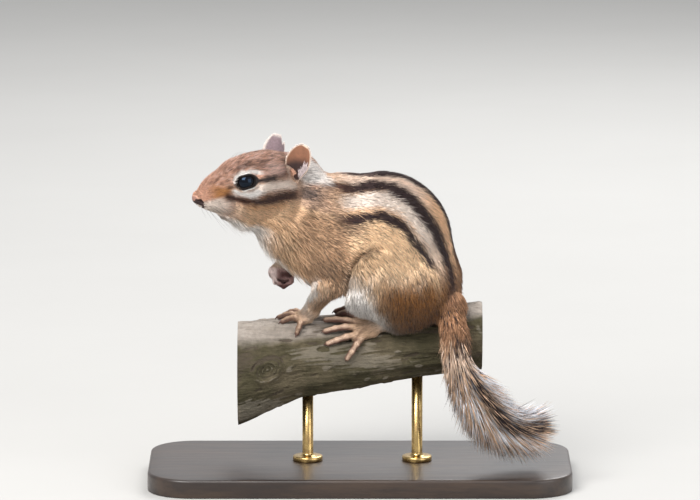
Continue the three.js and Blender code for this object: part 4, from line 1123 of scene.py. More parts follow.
def hump(value, middle, half, soft):
    """1 within half of the middle, 0 further out, smooth over soft."""
    return fall(np.abs(value - middle), half - soft / 2, half + soft / 2)


class Coat:
    """The coat's colour at points and the share of its hairs that are dark, laid on in layers.

    rough is a soft random waver in millimetres for the edges of the layers.
    """

    def __init__(self, p, weight):
        self.p = p
        self.h = to_head(p)
        self.weight = weight
        self.place, self.angle, self.reach = round_the_body(p)
        self.sway = 0.35 * ripple(p, 8, 21) + 0.22 * ripple(p, 3, 22)
        self.rough = 0.5 * ripple(p, 5, 23) + 0.35 * ripple(p, 2, 24)
        self.waver = 0.25 * ripple(p, 2.4, 25)
        self.head = share_of(weight, "head")
        self.colour = np.tile(ORANGE, (len(p), 1))
        self.ticks = np.full(len(p), 0.12)

    def lay(self, tint, cover, tick=None):
        """A tint over what lies below it, as far as it covers, and its own share of dark hairs."""
        cover = np.clip(cover, 0, 1)
        self.colour = self.colour + (np.asarray(tint) - self.colour) * cover[:, None]
        if tick is not None:
            self.ticks = self.ticks + (tick - self.ticks) * cover

    def across(self, line):
        """Distance round the body from a stripe's middle, in millimetres, more towards the belly."""
        return (self.angle - np.interp(self.place, *line)) * self.reach + self.sway

    def line(self, path, half, soft=0.9):
        """Cover of a line on the side of the face, wavy along its edges."""
        far, _ = from_path(self.h[:, [0, 2]], path)
        on_side = rise(np.abs(self.h[:, 1]), 2.5, 4.5) * self.head
        return fall(far + self.waver, half - soft, half + soft) * on_side


def paint_back(coat):
    """The flank, the shoulder and the nape, the stripes over them, the rump and the belly."""
    p, lay, rough, sway = coat.p, coat.lay, coat.rough, coat.sway
    place, angle, reach = coat.place, coat.angle, coat.reach
    x, z = p[:, 0], p[:, 2]
    inner, white, outer = (coat.across(line) for line in (inner_line, white_line, outer_line))
    front = rise(x, -12, 2)
    above_outer = fall(outer, -1.5, 0)
    lay(ORANGE_CREAM, above_outer, 0.04)
    lay(SHOULDER, rise(-x + 5 * rough, -9, 3) * rise(outer, -1.5, 1.5), 0.3)
    lay(SHOULDER_DARK, hump(x, 2, 5, 6) * hump(outer, 2.5, 3.5, 5) * 0.55, 0.45)
    lay(SHOULDER_DARK, hump(x, -8, 4, 6) * hump(z, 25, 3, 7) * 0.45, 0.45)
    lay(NAPE, (1 - front) * fall(outer, -2, 1), 0.3)
    lay(CREAM, hump(white, -0.2, 3.2, 2.6) * rise(x + 2 * rough, -6, 0) * fall(place, 0.5, 0.85), 0.02)
    lay(PINK_CREAM, fall(inner, -2.5, -1) * rise(x, -8, 0) * fall(x, 24, 36), 0.04)
    ridge = hump(angle * reach + sway, 0, 2.2 + 2.2 * rise(x, 0, 12), 2.2) * rise(x, -10, 1)
    inner_band = hump(inner, 0, 1.2 + 1.1 * rise(x, -5, 6), 1.3) * rise(x, -13, -6) * fall(-z, -9, -3)
    outer_band = hump(outer, 0, 1.75 - 0.3 * rise(place, 0.5, 0.7), 1.2) * rise(x, -9, 0)
    outer_band = outer_band * fall(-z, -29, -24)
    bands = np.maximum(np.maximum(ridge, inner_band), outer_band)
    lay(DARK_BROWN, hump(inner, 0, 3.4, 2) * rise(x, -12, -4) * 0.35 * fall(-z, -12, -4), 0.1)
    lay(DARK_BROWN, bands, 0)
    lay(DARK, bands * rise(x, -6, 6) * 0.8, 0)
    rump = rise(inner, 1.5, 4) * rise(place, 0.62, 0.76) * rise(outer, 1, 4)
    lay(RUST, rump * fall(z, 26, 34) * 0.7, 0.12)
    lay(RUMP, fall(z, 20, 36) * (1 - inner_band) * rise(x, 36, 41) * 0.85, 0.25)
    belly = rise(np.degrees(angle) + 6 * rough, 122, 140) * (1 - fall(x, -2, 7) * rise(np.abs(p[:, 1]), 4, 8))
    lay(WHITE, belly, 0.02)


def paint_legs(coat):
    """The haunch with painted shade low on the thigh, the foreleg, the tail's root and the shadow in the fold
    before the thigh.
    """
    p, weight, lay, rough = coat.p, coat.weight, coat.lay, coat.rough
    x, z = p[:, 0], p[:, 2]
    thigh = share_of(weight, "hindleg")
    lay(GREY_THIGH, thigh * rise(z + 5 * rough, 15, 26) * fall(x, 30, 38), 0.4)
    lay(RUST, thigh * fall(z + 5 * rough, 16, 30) * rise(x + 0.6 * (z - 15), 12, 23), 0.22)
    # The rusty thigh darker towards its bottom: painted shade.
    lay(RUST_SHADED, thigh * fall(z + 4 * rough, 6, 18) * rise(x, 12, 22) * 0.8, 0.3)
    lay(WHITE, thigh * fall(x + 0.77 * z + 2 * rough, 16.5, 22), 0.08)
    inside_leg = fall(np.abs(p[:, 1]), 5.5, 9)
    lay(WHITE, thigh * inside_leg * fall(z, 22, 30), 0.02)
    foreleg = share_of(weight, "foreleg")
    half_leg = np.interp(z, [4.2, 17, 30], [3.3, 6, 10.5])
    behind = (x - np.interp(z, [4.2, 17, 30], [-11.6, -4.4, -5]) + 1.2 * rough) / half_leg
    lay(FORELEG, foreleg * fall(z + 4 * rough, 14, 22) * 0.9, 0.14)
    lay(SHOULDER, foreleg * fall(z, 22, 30) * rise(behind, -0.1, 0.4), 0.45)
    lay(SHOULDER_DARK, foreleg * hump(z, 24, 4, 6) * rise(behind, 0.1, 0.6) * 0.5, 0.5)
    lay(WHITE, foreleg * fall(behind, -0.85, -0.55) * fall(z, 18, 25), 0.04)
    root = share_of(weight, "tail_root")
    lay(TAIL_ROOT, root * 0.9, 0.35)
    lay(TAN_TAIL, share_of(weight, "tail") * fall(z, -16, -6), 0.3)
    fold, fold_place = from_path(p[:, [0, 2]], THIGH_FOLD)
    fold_cover = fall(fold, 0.7, 2.5) * rise(fold_place, 0.12, 0.35) * fall(fold_place, 0.6, 0.95)
    lay(THIGH_SHADE, fold_cover * rise(np.abs(p[:, 1]), 8, 11) * 0.8, 0.4)


def paint_head(coat):
    """The throat, the cheek, the crown with its flecks, and the muzzle."""
    p, h, lay, rough, head = coat.p, coat.h, coat.lay, coat.rough, coat.head
    x, z = p[:, 0], p[:, 2]
    hx, hz = h[:, 0], h[:, 2]
    throat = fall(0.8 * (x + 30) + 0.6 * (z - 30) + 1.8 * rough, 0.8, 5)
    near_front = throat * rise(-x, 10, 16) * rise(z, 12, 20)
    lay(WHITE, near_front * (1 - head), 0.05)
    lay(SHOULDER_DARK, hump(x, -24, 1.5, 2.5) * hump(z, 31, 1.6, 2.5) * 0.8, 0.6)
    lay(CHEEK, head * fall(hz + 0.5 * rough, -3.5, -1.5) * rise(hx, -34, -28), 0.2)
    lay(CHEEK, (1 - head) * rise(-x, 16, 22) * (1 - near_front) * fall(z, 52, 58) * 0.85, 0.2)
    lay(CROWN, head * rise(hz + 0.5 * rough, 4, 7) * fall(hx, 4, 12), 0.3)
    lay(MUZZLE, head * fall(hx, -32, -20) * fall(hz, 5, 9), 0.08)
    fleck = ripple(h * [0.26, 1, 1], 1.15, 26)
    on_crown = head * rise(hz - 0.25 * (hx + 20), 4, 7) * fall(hx, 4, 12) * rise(hx, -39, -35)
    lay(DARK_BROWN, on_crown * rise(fleck, 0.15, 0.7) * 0.72)
    lay(CROWN_LIGHT, on_crown * rise(-fleck, 0.25, 0.8) * 0.6)
    lay(OCHRE, head * hump(hz + 0.4 * rough, 0.4, 2.2, 2.6) * rise(hx, -37, -32) * fall(hx, -25, -20), 0.16)
    lay(CROWN_LIGHT, head * hump(hx, -9, 5, 4) * hump(hz, 8.4, 2.2, 2.6) * 0.7, 0.2)


def paint_face_lines(coat):
    """The pale underside and lips, the lines of the cheek and round the eye, and the patches by the ear."""
    h, lay, line, rough, head = coat.h, coat.lay, coat.line, coat.rough, coat.head
    hx, hz = h[:, 0], h[:, 2]
    side = np.abs(h[:, 1])
    lay(WHITE, head * fall(hz + 0.30 * hx + 0.9 * rough, -19.4, -16.8), 0.06)
    lay(LIPS, head * fall(hz - 0.3 * (hx + 38), -4.4, -2.6) * fall(hx + rough, -34, -20), 0.08)
    lay(RUSTY_BROWN, line([[-29, -1.2], [-22, -2.6], [-12, -2], [-4, -0.6]], 1.7, 1.4) * 0.7, 0.3)
    lay(CHEEK_LINE, line([[-29, -1.4], [-25.4, -2.2], [-20.7, -3], [-17, -3.2], [-13.6, -2.6]], 1.05), 0.5)
    lay(CHEEK_LINE, line([[-14.6, -2.4], [-10, -1.4], [-5, -0.6]], 1.5), 0.5)
    lay(OCHRE, line([[-22, -5], [-15, -5.4], [-9, -4.2]], 0.7) * 0.5, 0.2)
    behind_cheek = rise(side, 4, 7) * fall(np.hypot((hx - 1.6) / 1.5, hz + 0.4), 1.4, 3)
    lay(EAR_SHADE, behind_cheek * 0.85, 0.5)
    lay(RUSTY_BROWN, rise(side, 4, 7) * fall(np.hypot(hx - 4, hz - 3.2), 1, 2.6) * 0.7, 0.3)
    lay(WHITE, line([[-26.6, 0.8], [-23.4, -0.1], [-19.9, -0.4], [-15.7, 1.9]], 1.2), 0.02)
    lay(CREAM, line([[-16, 1.9], [-10.4, 2.7], [-3, 3.2]], 1.4), 0.03)
    lay(WHITE, line([[-26.4, 3.6], [-25.4, 6.4], [-23, 8.2], [-19.6, 8.7], [-16, 7.6]], 0.62, 0.5), 0.02)
    lay(DARK_BROWN, line([[-25, 8.8], [-22.4, 10.2], [-19, 10.8], [-14.5, 10]], 0.5, 0.6) * 0.6, 0.3)
    lay(CHEEK_LINE, line([[-14, 5.6], [-9, 6.2], [-5.6, 7]], 0.8, 0.8) * 0.7, 0.3)
    lay(DARK, line([[-16.6, 5], [-12.4, 5.4]], 0.9, 0.7), 0.3)
    lay(DARK_BROWN, line([[-28.6, 2.2], [-26.4, 2.8]], 0.4, 0.4) * 0.8, 0.2)
    behind_ear = hump(hx + rough, 6.5, 4.6, 3) * hump(hz, 7.6, 4.8, 3.4) * rise(side, 4, 7)
    lay(WHITE, behind_ear * 0.95, 0.04)
    lay(SHOULDER_DARK, line([[5.5, 2.6], [9, 2.2]], 0.5, 0.5) * 0.7, 0.3)
    lay(PINK_CREAM, line([[-4, 4], [-4.2, 12]], 1.5, 1), 0.03)
    lay(RUSTY_BROWN, line([[-6, 6.5], [-5.4, 12]], 0.9, 0.9) * 0.8, 0.2)


def paint_features(coat):
    """The lids' white, painted shade along the lips' edge, the nose's pad, and painted shade in the nostrils
    and the ear's hollow.
    """
    h, lay, rough, head = coat.h, coat.lay, coat.rough, coat.head
    hx, hz = h[:, 0], h[:, 2]
    side = np.abs(h[:, 1])
    folded = mirrored(h)
    far, polar, psi = eye_angles(folded, 1)
    over = polar - eye_opening(psi)
    lay(WHITE, fall(over + 0.04 * rough, 0.24, 0.32) * (far < 7) * fall(np.abs(np.cos(psi)), 0.55, 0.8), 0)
    wedge, _ = from_path(folded, NOSTRIL_WEDGE)
    nostril, _ = from_path(folded, NOSTRIL)
    mouth, _ = from_path(h[:, [0, 2]], np.array(MOUTH) - [0, 0.5])
    # Painted shade in the mouth's slit, along the lips' edge.
    lay(DARK_BROWN, head * fall(mouth, 0.2, 0.7) * fall(hx, -28, -26) * 0.6, 0)
    pad = fall(np.linalg.norm(folded - [-39.6, 0.8, -2.4], axis=1), 2.2, 4)
    lay(NOSE_BARE, pad * fall(wedge, 0.4, 1) * 0.85, 0.1)
    hole, _ = from_path(folded, EAR_HOLE)
    # Painted shade in the ear's opening.
    lay(EAR_HOLE_SHADE, fall(hole, 1.3, 2.1), 0)
    bridge = head * fall(side, 2, 4.5) * fall(hx, -24, -16) * rise(hz, 0, 3)
    lay(CROWN, bridge * 0.4, 0.3)
    # Painted shade in the nostrils.
    lay(NOSTRIL_SHADE, np.maximum(fall(wedge, 0.75, 1.3), fall(nostril, 0.5, 0.9)), 0)


def paint_feet(coat):
    """The feet, with painted shade low on the far hind foot, and the raised paw's dark palm under its pale
    upper side.
    """
    p, weight, lay = coat.p, coat.weight, coat.lay
    x, z = p[:, 0], p[:, 2]
    lay(FOOT, share_of(weight, "forefoot") + share_of(weight, "hindfoot"), 0.18)
    # Painted shade low on the far hind foot.
    lay(SHOULDER_DARK, share_of(weight, "hindfoot_right") * fall(z, 1.5, 3) * 0.7, 0.2)
    fist = share_of(weight, "forefoot_right") * fall(z, 20.5, 22)
    lay(PAW_RIM, fist, 0)
    lay(MAUVE, fist * rise(x, -26, -24.4), 0)
    lay(MAROON, fist * hump(z, 18.4, 1.3, 1.2) * rise(x, -24.8, -23), 0)
    # Painted shade in the gaps between the raised paw's fingers.
    between = np.abs((p[:, 1] - 0.925) / 1.95 % 1 - 0.5)
    lay(MAROON, fist * rise(between, 0.34, 0.46) * fall(z, 18, 19.5) * 0.8, 0)
    lay(MAROON, fist * fall(z, 13.6, 14.8) * rise(x, -26.4, -24.8), 0)


def markings(p, weight):
    """The coat's colour at points, and the share of its hairs that are dark."""
    coat = Coat(p, weight)
    for paint_part in (paint_back, paint_legs, paint_head, paint_face_lines, paint_features, paint_feet):
        paint_part(coat)
    return coat.colour, coat.ticks


def bareness_of(p):
    """Where no hair grows: the nose's pad, the lips' edge, the lids' edge and the pads of the digits."""
    h = to_head(p)
    folded = mirrored(h)
    nose = fall(np.linalg.norm(folded - [-39.8, 0.8, -2.8], axis=1), 1.5, 2.3)
    wedge, _ = from_path(folded, NOSTRIL_WEDGE)
    nose = np.maximum(nose, fall(wedge, 0.6, 1))
    mouth, _ = from_path(h[:, [0, 2]], MOUTH)
    lips = fall(mouth, 0.4, 0.7) * fall(h[:, 0], -27, -25) * (h[:, 0] < -20)
    lids = np.zeros(len(p))
    for side in (-1, 1):
        far, polar, psi = eye_angles(h, side)
        lids = np.maximum(lids, fall(polar - eye_opening(psi), 0.13, 0.2) * (far < 6.5))
    hole, _ = from_path(folded, EAR_HOLE)
    return np.clip(nose + lips + lids + 1 - rise(hole, 1.5, 2), 0, 1), nose, lids


weight = shares_of_masses(corners)
skin_colour, _ = markings(corners, weight)
bareness, nose, lids = bareness_of(corners)
digit_share = share_of_toes(weight)


def toe_light(p):
    """How far points lie towards the top of the nearest toe, from -1 below it to 1 above it."""
    best = np.full(len(p), 1e9)
    height = np.zeros(len(p))
    for _, points, size, normal in digits:
        far, place = from_path(p, points)
        middle = curve(points, place)
        height = np.where(far < best, ((p - middle) @ normal) / size, height)
        best = np.minimum(best, far)
    return height


# Painted light on the toes on the bark: their tops lit pale, their sides and the gaps between them in painted
# shade.
on_bark_toes = digit_share * (1 - share_of(weight, "forefoot_right"))
toe_tint = TOE_SHADE + (TOE_TOP_LIT - TOE_SHADE) * rise(toe_light(corners), 0.25, 0.95)[:, None]
skin_colour += (toe_tint - skin_colour) * on_bark_toes[:, None]
skin_colour += (NOSE_BARE - skin_colour) * (nose * (skin_colour.sum(axis=1) > 0.15))[:, None]
skin_colour += (LID_EDGE - skin_colour) * lids[:, None]
bareness = np.clip(bareness + 0.6 * digit_share, 0, 1)
add_colours(skin.data, {"markings": skin_colour, "bareness": np.repeat(bareness[:, None], 3, axis=1)})


# The eyes: balls of black glass, faintly clouded with brown, set in the sockets, and the lids' dark edges
# round them. The glass's reflections are tinted blue, a painted reflection of sky.
def dome(centre, axis, radius, rows=48, sides=72):
    """A ball: rings about its axis, each at an angle from the front pole."""
    axis = axis / np.linalg.norm(axis)
    side = np.cross(axis, [0, 0, 1])
    side /= np.linalg.norm(side)
    up = np.cross(side, axis)
    polar = np.linspace(0, math.pi, rows + 2)[1:-1][:, None, None]
    turn = (np.arange(sides) * 2 * math.pi / sides)[None, :, None]
    ring = np.cos(turn) * side + np.sin(turn) * up
    return centre + radius * (np.cos(polar) * axis + np.sin(polar) * ring)


EYE_BLACK = (0.002, 0.002, 0.002, 1)
EYE_BROWN = (0.006, 0.004, 0.004, 1)
SKY_REFLECTION_TINT = (0.36, 0.62, 1, 1)
LID_BLACK = (0.004, 0.003, 0.003, 1)
LID_BROWN = (0.012, 0.008, 0.007, 1)
# Reflections tinted blue: a painted reflection of a sky.
glass = Finish("eye_black", Specular_IOR_Level=0.46, Specular_Tint=SKY_REFLECTION_TINT, IOR=1.4)
cloud = glass.noise(glass.place(), 260, 2, 0.5)
glass.feed(Base_Color=glass.blend(cloud, EYE_BLACK, EYE_BROWN), Roughness=0.06 + 0.05 * cloud)
lid_skin = Finish("lid_edge", Specular_IOR_Level=0.12)
lid_grain = lid_skin.noise(lid_skin.place(), 1600, 3, 0.6)
lid_skin.feed(Base_Color=lid_skin.blend(lid_grain, LID_BLACK, LID_BROWN), Roughness=0.5 + 0.3 * lid_grain)
lid_skin.relief(lid_grain, 0.00005, 0.6)


def pipe(path, radius, sides, closed=False, squeeze=None):
    """A round band carried along a path: rings square to it, with a radius at each point."""
    ahead = np.roll(path, -1, axis=0) - np.roll(path, 1, axis=0)
    if not closed:
        ahead[0] = path[1] - path[0]
        ahead[-1] = path[-1] - path[-2]
    ahead /= np.linalg.norm(ahead, axis=1, keepdims=True)
    guide = np.array([0.31, 0.17, 0.93]) if squeeze is None else squeeze
    side = np.cross(ahead, guide)
    side /= np.linalg.norm(side, axis=1, keepdims=True)
    up = np.cross(side, ahead)
    turn = (np.arange(sides) * 2 * math.pi / sides)[None, :, None]
    radius = np.broadcast_to(radius, (len(path),))[:, None, None]
    return path[:, None, :] + radius * (np.cos(turn) * side[:, None, :] + np.sin(turn) * up[:, None, :])


for word, side in [("left", -1), ("right", 1)]:
    centre, axis, nose_way, up = eye_frame(side)
    ball = dome(from_head(centre), head_turn(axis), EYE_RADIUS)
    make_mesh(
        f"eye_ball_{word}", closed_rings(ball), ring_faces(*ball.shape[:2]), glass, "eye", [f"eye_{word}"]
    )
    psi = np.arange(96) * 2 * math.pi / 96
    polar = eye_opening(psi) + 0.05
    rim = centre + (EYE_RADIUS + 0.22) * (
        np.cos(polar)[:, None] * axis
        + np.sin(polar)[:, None] * (np.cos(psi)[:, None] * nose_way + np.sin(psi)[:, None] * up)
    )
    band = pipe(from_head(rim), 0.42 + 0.12 * np.cos(psi) ** 8, 12, True, head_turn(axis))
    rows, sides = band.shape[:2]
    r, k = np.meshgrid(np.arange(rows), np.arange(sides), indexing="ij")
    a, b = r * sides + k, r * sides + (k + 1) % sides
    c, d = (r + 1) % rows * sides + (k + 1) % sides, (r + 1) % rows * sides + k
    quads = np.stack([a, b, c, d], axis=2).reshape(-1, 4)
    make_mesh(f"lid_edge_{word}", band.reshape(-1, 3), [quads], lid_skin, "eye")


# The ears: thin cups of skin, open to the side and the front, rooted on the skull. The back is furred,
# the inside is nearly bare and orange brown, darker towards its foot with painted shade, and the rim is pale.
EAR_HEIGHT = 15.2
EAR_HALF_WIDTH = 5.2
EAR_CUP = 2.5
EAR_THICK = 0.8
EARS = {
    -1: {"root": [-0.6, -9.9, 7.2], "lean": 27, "sweep": 8, "open": 50, "nick": 0},
    1: {"root": [-1.7, 9.8, 7.4], "lean": 18, "sweep": 16, "open": 8, "nick": 2.4},
}


def ear_frame(side):
    """The ear's upward, mouth-ward and crosswise directions, in the head's frame, from its three angles."""
    lean, sweep, turn = (math.radians(EARS[side][key]) for key in ("lean", "sweep", "open"))
    up = np.array([math.sin(sweep), side * math.sin(lean), math.cos(lean) * math.cos(sweep)])
    up /= np.linalg.norm(up)
    mouth = np.array([-math.sin(turn), side * math.cos(turn), 0])
    mouth -= (mouth @ up) * up
    mouth /= np.linalg.norm(mouth)
    return up, mouth, np.cross(up, mouth)


def ear_sheet(side, u, v):
    """The ear's middle surface by height u, 0 to 1, and place across v, -1 to 1.

    Its half width narrows to a round tip, and it is cupped back from its mouth in the middle, with a
    soft fold near each edge. The right ear's rim has an old nick.
    """
    up, mouth, across = ear_frame(side)
    bulge = np.sqrt(np.clip(1 - np.clip((u - 0.42) / 0.58, 0, 1) ** 2.2, 0, 1))
    width = EAR_HALF_WIDTH * (0.62 + 0.38 * rise(u, 0, 0.5)) * bulge
    back = EAR_CUP * (1 - (u * 0.72) ** 2) * (1 - (v * bulge) ** 2) + 1.1 * u * u
    back = back + 0.35 * bell(np.abs(v) - 0.72, 0.16) * (1 - u)
    nick = EARS[side]["nick"] * bell(width * v + 2.5, 0.7) * rise(u, 0.5, 0.8)
    point = EARS[side]["root"] + ((u - 0.18) * EAR_HEIGHT - nick)[..., None] * up
    return point + (width * v)[..., None] * across + (1.2 - back)[..., None] * mouth


ear_skin = Finish("ear_skin", Roughness=0.6)
colour = ear_skin.node("Attribute", {"attribute_name": "markings"}, {}, "Color")
mottling = ear_skin.noise(ear_skin.place(), 900, 4, 0.65)
veins = ear_skin.noise(ear_skin.place((1, 1, 0.4)), 420, 3, 0.6)
ear_skin.feed(
    Base_Color=ear_skin.shade(colour, 0.35 + 0.75 * mottling + 0.6 * veins),
    Roughness=0.5 + 0.25 * mottling,
)
ear_skin.relief(mottling, 0.0001, 0.5)
EAR_INSIDE = paint(0.53, 0.36, 0.27)
EAR_DEEP_SHADE = paint(0.20, 0.13, 0.12)
EAR_RIM = paint(0.88, 0.78, 0.70)
EAR_FAR_BACK = paint(0.60, 0.52, 0.54)
EAR_BACK = paint(0.72, 0.64, 0.58)
EAR_BACK_FRONT = paint(0.58, 0.42, 0.30)
for word, side in [("left", -1), ("right", 1)]:
    _, mouth, _ = ear_frame(side)
    u = np.sin(np.linspace(0, math.pi / 2, 46))[:, None] * 0.995
    v = np.concatenate([np.linspace(-1, 1, 36), np.linspace(1, -1, 36)])[None, :]
    wall = np.repeat([1.0, -1.0], 36)[None, :]
    half = EAR_THICK / 2 * (1.3 - 0.5 * u) * np.sqrt(1 - 0.9 * v * v)
    middle = ear_sheet(side, u + 0 * v, v + 0 * u)
    ear = middle + (wall * half)[..., None] * mouth
    rim = np.maximum(rise(np.abs(v), 0.9, 1) + 0 * u, rise(u, 0.95, 1) + 0 * v)
    # Painted shade deep in the cup, towards its foot.
    shaded = fall(u + 0.16 * v * side + 0.1 * v * v, 0.4, 0.72)[..., None]
    inner = EAR_INSIDE + (EAR_DEEP_SHADE - EAR_INSIDE) * shaded
    rear = EAR_BACK_FRONT + (EAR_BACK - EAR_BACK_FRONT) * rise(v * side, -0.4, 0.3)[..., None]
    if side > 0:
        rear = EAR_FAR_BACK
    tint = np.where((wall > 0)[..., None], inner, rear + 0 * inner)
    tint = tint + (EAR_RIM - tint) * rim[..., None]
    tints = np.concatenate([tint.reshape(-1, 3), tint[[0, -1], 0]])
    faces = ring_faces(*ear.shape[:2])
    if side < 0:
        faces = [f[:, ::-1] for f in faces]
    make_mesh(
        f"ear_cup_{word}", closed_rings(from_head(ear)), faces, ear_skin, "ear_skin", [f"ear_{word}"],
        {"markings": tints},
    )


# The claws: small hooks of dark horn, paler where they leave the toe.
CLAW_LENGTH = 2.4
CLAW_RADIUS = 0.55


def claw_rings(tip, ahead, normal, rows=12, sides=10):
    """A hook: a curve through its root, its bend and its point, on a radius that falls to nothing."""
    t = np.linspace(0, 0.97, rows)[:, None]
    root = tip - 0.9 * ahead + 0.2 * normal
    bend = root + CLAW_LENGTH * 0.8 * ahead + 0.75 * normal
    point = root + CLAW_LENGTH * 1.25 * ahead - 0.75 * normal
    path = root * (1 - t) ** 2 + 2 * bend * t * (1 - t) + point * t ** 2
    return pipe(path, CLAW_RADIUS * (1 - t[:, 0] ** 1.4) + 0.05, sides, squeeze=normal)


horn = Finish("claw_horn", Roughness=0.35, Coat_Weight=0.2)
colour = horn.node("Attribute", {"attribute_name": "markings"}, {}, "Color")
striae = horn.noise(horn.place(), 2600, 3, 0.6)
horn.feed(Base_Color=horn.shade(colour, 0.7 + 0.6 * striae), Roughness=0.3 + 0.2 * striae)
CLAW_ROOT = paint(0.50, 0.36, 0.31)
CLAW_TIP = paint(0.20, 0.13, 0.12)
hooks, tints = [], []
for _, points, _, normal in digits:
    ahead = points[-1] - points[-2]
    ahead /= np.linalg.norm(ahead)
    square = normal - (normal @ ahead) * ahead
    square /= np.linalg.norm(square)
    rings = claw_rings(points[-1], ahead, square)
    hooks.append(rings)
    fade = np.repeat(np.linspace(0, 1, len(rings)), rings.shape[1])
    fade = np.concatenate([fade, [0, 1]])[:, None]
    tints.append(CLAW_ROOT * (1 - fade) + CLAW_TIP * fade)
make_mesh("claws", *joined(hooks), horn, "foot_skin", attributes={"markings": np.concatenate(tints)})


# The coat: hairs held together in thin tapered tufts that overlap like thatch and lie back along the
# body, long on the back and belly, very short on the face and the feet.
def scatter(mesh, density, seed):
    """Roots spread evenly over a mesh: the triangles' areas times the density are summed, and a root is
    put at each whole number of the sum, somewhere in its triangle."""
    rng = np.random.default_rng(seed)
    mesh.calc_loop_triangles()
    tri = np.empty(len(mesh.loop_triangles) * 3, np.int32)
    mesh.loop_triangles.foreach_get("vertices", tri)
    tri = tri.reshape(-1, 3)
    p = corners_of(mesh)
    normal = np.empty(len(p) * 3, np.float32)
    mesh.vertex_normals.foreach_get("vector", normal)
    normal = normal.reshape(-1, 3)
    a, b, c = (p[tri[:, i]] for i in range(3))
    area = np.linalg.norm(np.cross(b - a, c - a), axis=1) / 2
    total = np.cumsum(area * density((a + b + c) / 3))
    spots = np.arange(int(total[-1])) + rng.uniform(0, 1, int(total[-1]))
    chosen = np.minimum(np.searchsorted(total, spots), len(tri) - 1)
    u, v = rng.uniform(0, 1, (2, len(spots)))
    fold = u + v > 1
    u, v = np.where(fold, 1 - u, u)[:, None], np.where(fold, 1 - v, v)[:, None]
    n = normal[tri[chosen]]
    n = n[:, 0] * (1 - u - v) + n[:, 1] * u + n[:, 2] * v
    root = a[chosen] + u * (b[chosen] - a[chosen]) + v * (c[chosen] - a[chosen])
    return root, n / np.linalg.norm(n, axis=1, keepdims=True)


def unit(v):
    return v / (np.linalg.norm(v, axis=1, keepdims=True) + 1e-9)


def pelt_place(along, around):
    """Each root's place on the opened pelt: even strips along the body, and even steps round it in each."""
    strips = max(1, int(math.sqrt(len(along))))
    order = np.argsort(along, kind="stable")
    u = np.empty(len(along))
    u[order] = np.arange(len(along)) * strips // len(along)
    order = np.lexsort((around, u))
    counts = np.bincount(u.astype(int), minlength=strips)
    starts = np.concatenate([[0], np.cumsum(counts)[:-1]])
    v = np.empty(len(along))
    v[order] = np.arange(len(along)) - starts[u[order].astype(int)]
    v = (v + 0.5) / counts[u.astype(int)]
    return np.stack([(u + 0.5) / strips, v], axis=1)


def lay_tufts(name, root, normal, lie, length, width, lift, colour, place, finish, slot, rings=2, sag=0.45,
              replaced=()):
    """Tufts as slim three-sided blades, each a path from its root: along its lie by its length, and off
    the skin by its lift, less as it goes. Each ring has two edges and a ridge, and the tip is a point."""
    count = len(root)
    side = unit(np.cross(lie, normal))
    steps = np.linspace(0, 1, rings + 1)
    corners = np.empty((count, rings * 3 + 1, 3), np.float32)
    shade = np.empty((count, rings * 3 + 1, 3), np.float32)
    chart = np.empty((count, rings * 3 + 1, 2), np.float32)
    for i, t in enumerate(steps):
        path = root + (lie * (length * t)[:, None]) + normal * (length * lift * (t - sag * t * t))[:, None]
        path = path - normal * (0.15 * width * (1 - t))[:, None]
        if i == rings:
            corners[:, -1] = path
            shade[:, -1] = [1, 0.5, 0]
            chart[:, -1] = place + [0, 0.0015]
            continue
        half = (width * (0.5, 0.46, 0.36, 0.25)[min(3, round(3 * t))])[:, None]
        corners[:, 3 * i] = path - side * half
        corners[:, 3 * i + 1] = path + normal * half * 0.7
        corners[:, 3 * i + 2] = path + side * half
        for k in range(3):
            shade[:, 3 * i + k] = [t, k / 2, 0]
            chart[:, 3 * i + k] = place + [0.0013 * (k - 1), 0.003 * (t - 0.5)]
    first = np.arange(count)[:, None, None] * (rings * 3 + 1)
    tube_faces = []
    for i in range(rings - 1):
        for k in range(3):
            a, b = 3 * i + k, 3 * i + (k + 1) % 3
            tube_faces += [[a, b, b + 3], [a, b + 3, a + 3]]
    end = 3 * (rings - 1)
    tube_faces += [[end + k, end + (k + 1) % 3, end + 3] for k in range(3)]
    tube_faces += [[2, 1, 0]]
    faces = (first + np.array(tube_faces)[None]).reshape(-1, 3)
    attributes = {
        "markings": np.repeat(colour, rings * 3 + 1, axis=0),
        "hair_place": shade.reshape(-1, 3),
    }
    made = make_mesh(name, corners.reshape(-1, 3), [faces], finish, slot, replaced, attributes)
    bake = made.data.uv_layers.new(name="OFBake")
    bake.data.foreach_set("uv", chart.reshape(-1, 2)[faces.ravel()].ravel())
    return made


fur = Finish("coat_hair", Specular_IOR_Level=0.2, Sheen_Weight=0.08, Sheen_Roughness=0.4)
colour = fur.node("Attribute", {"attribute_name": "markings"}, {}, "Color")
held = fur.node("Attribute", {"attribute_name": "hair_place"}, {}, "Color")
along_hair = Tone(fur, fur.node("SeparateColor", {}, {0: held}).socket.node.outputs[0])
strand = fur.noise(fur.place(), 2200, 2, 0.6)
# Each hair darker at its root than at its tip: painted shade deep in the coat.
fur.feed(
    Base_Color=fur.shade(colour, 0.62 + 0.42 * along_hair + 0.25 * strand),
    Roughness=0.62 + 0.2 * strand,
)

FLANK_TOP = 38
HAUNCH_FRONT = 12
rng = np.random.default_rng(8)
quick = 1


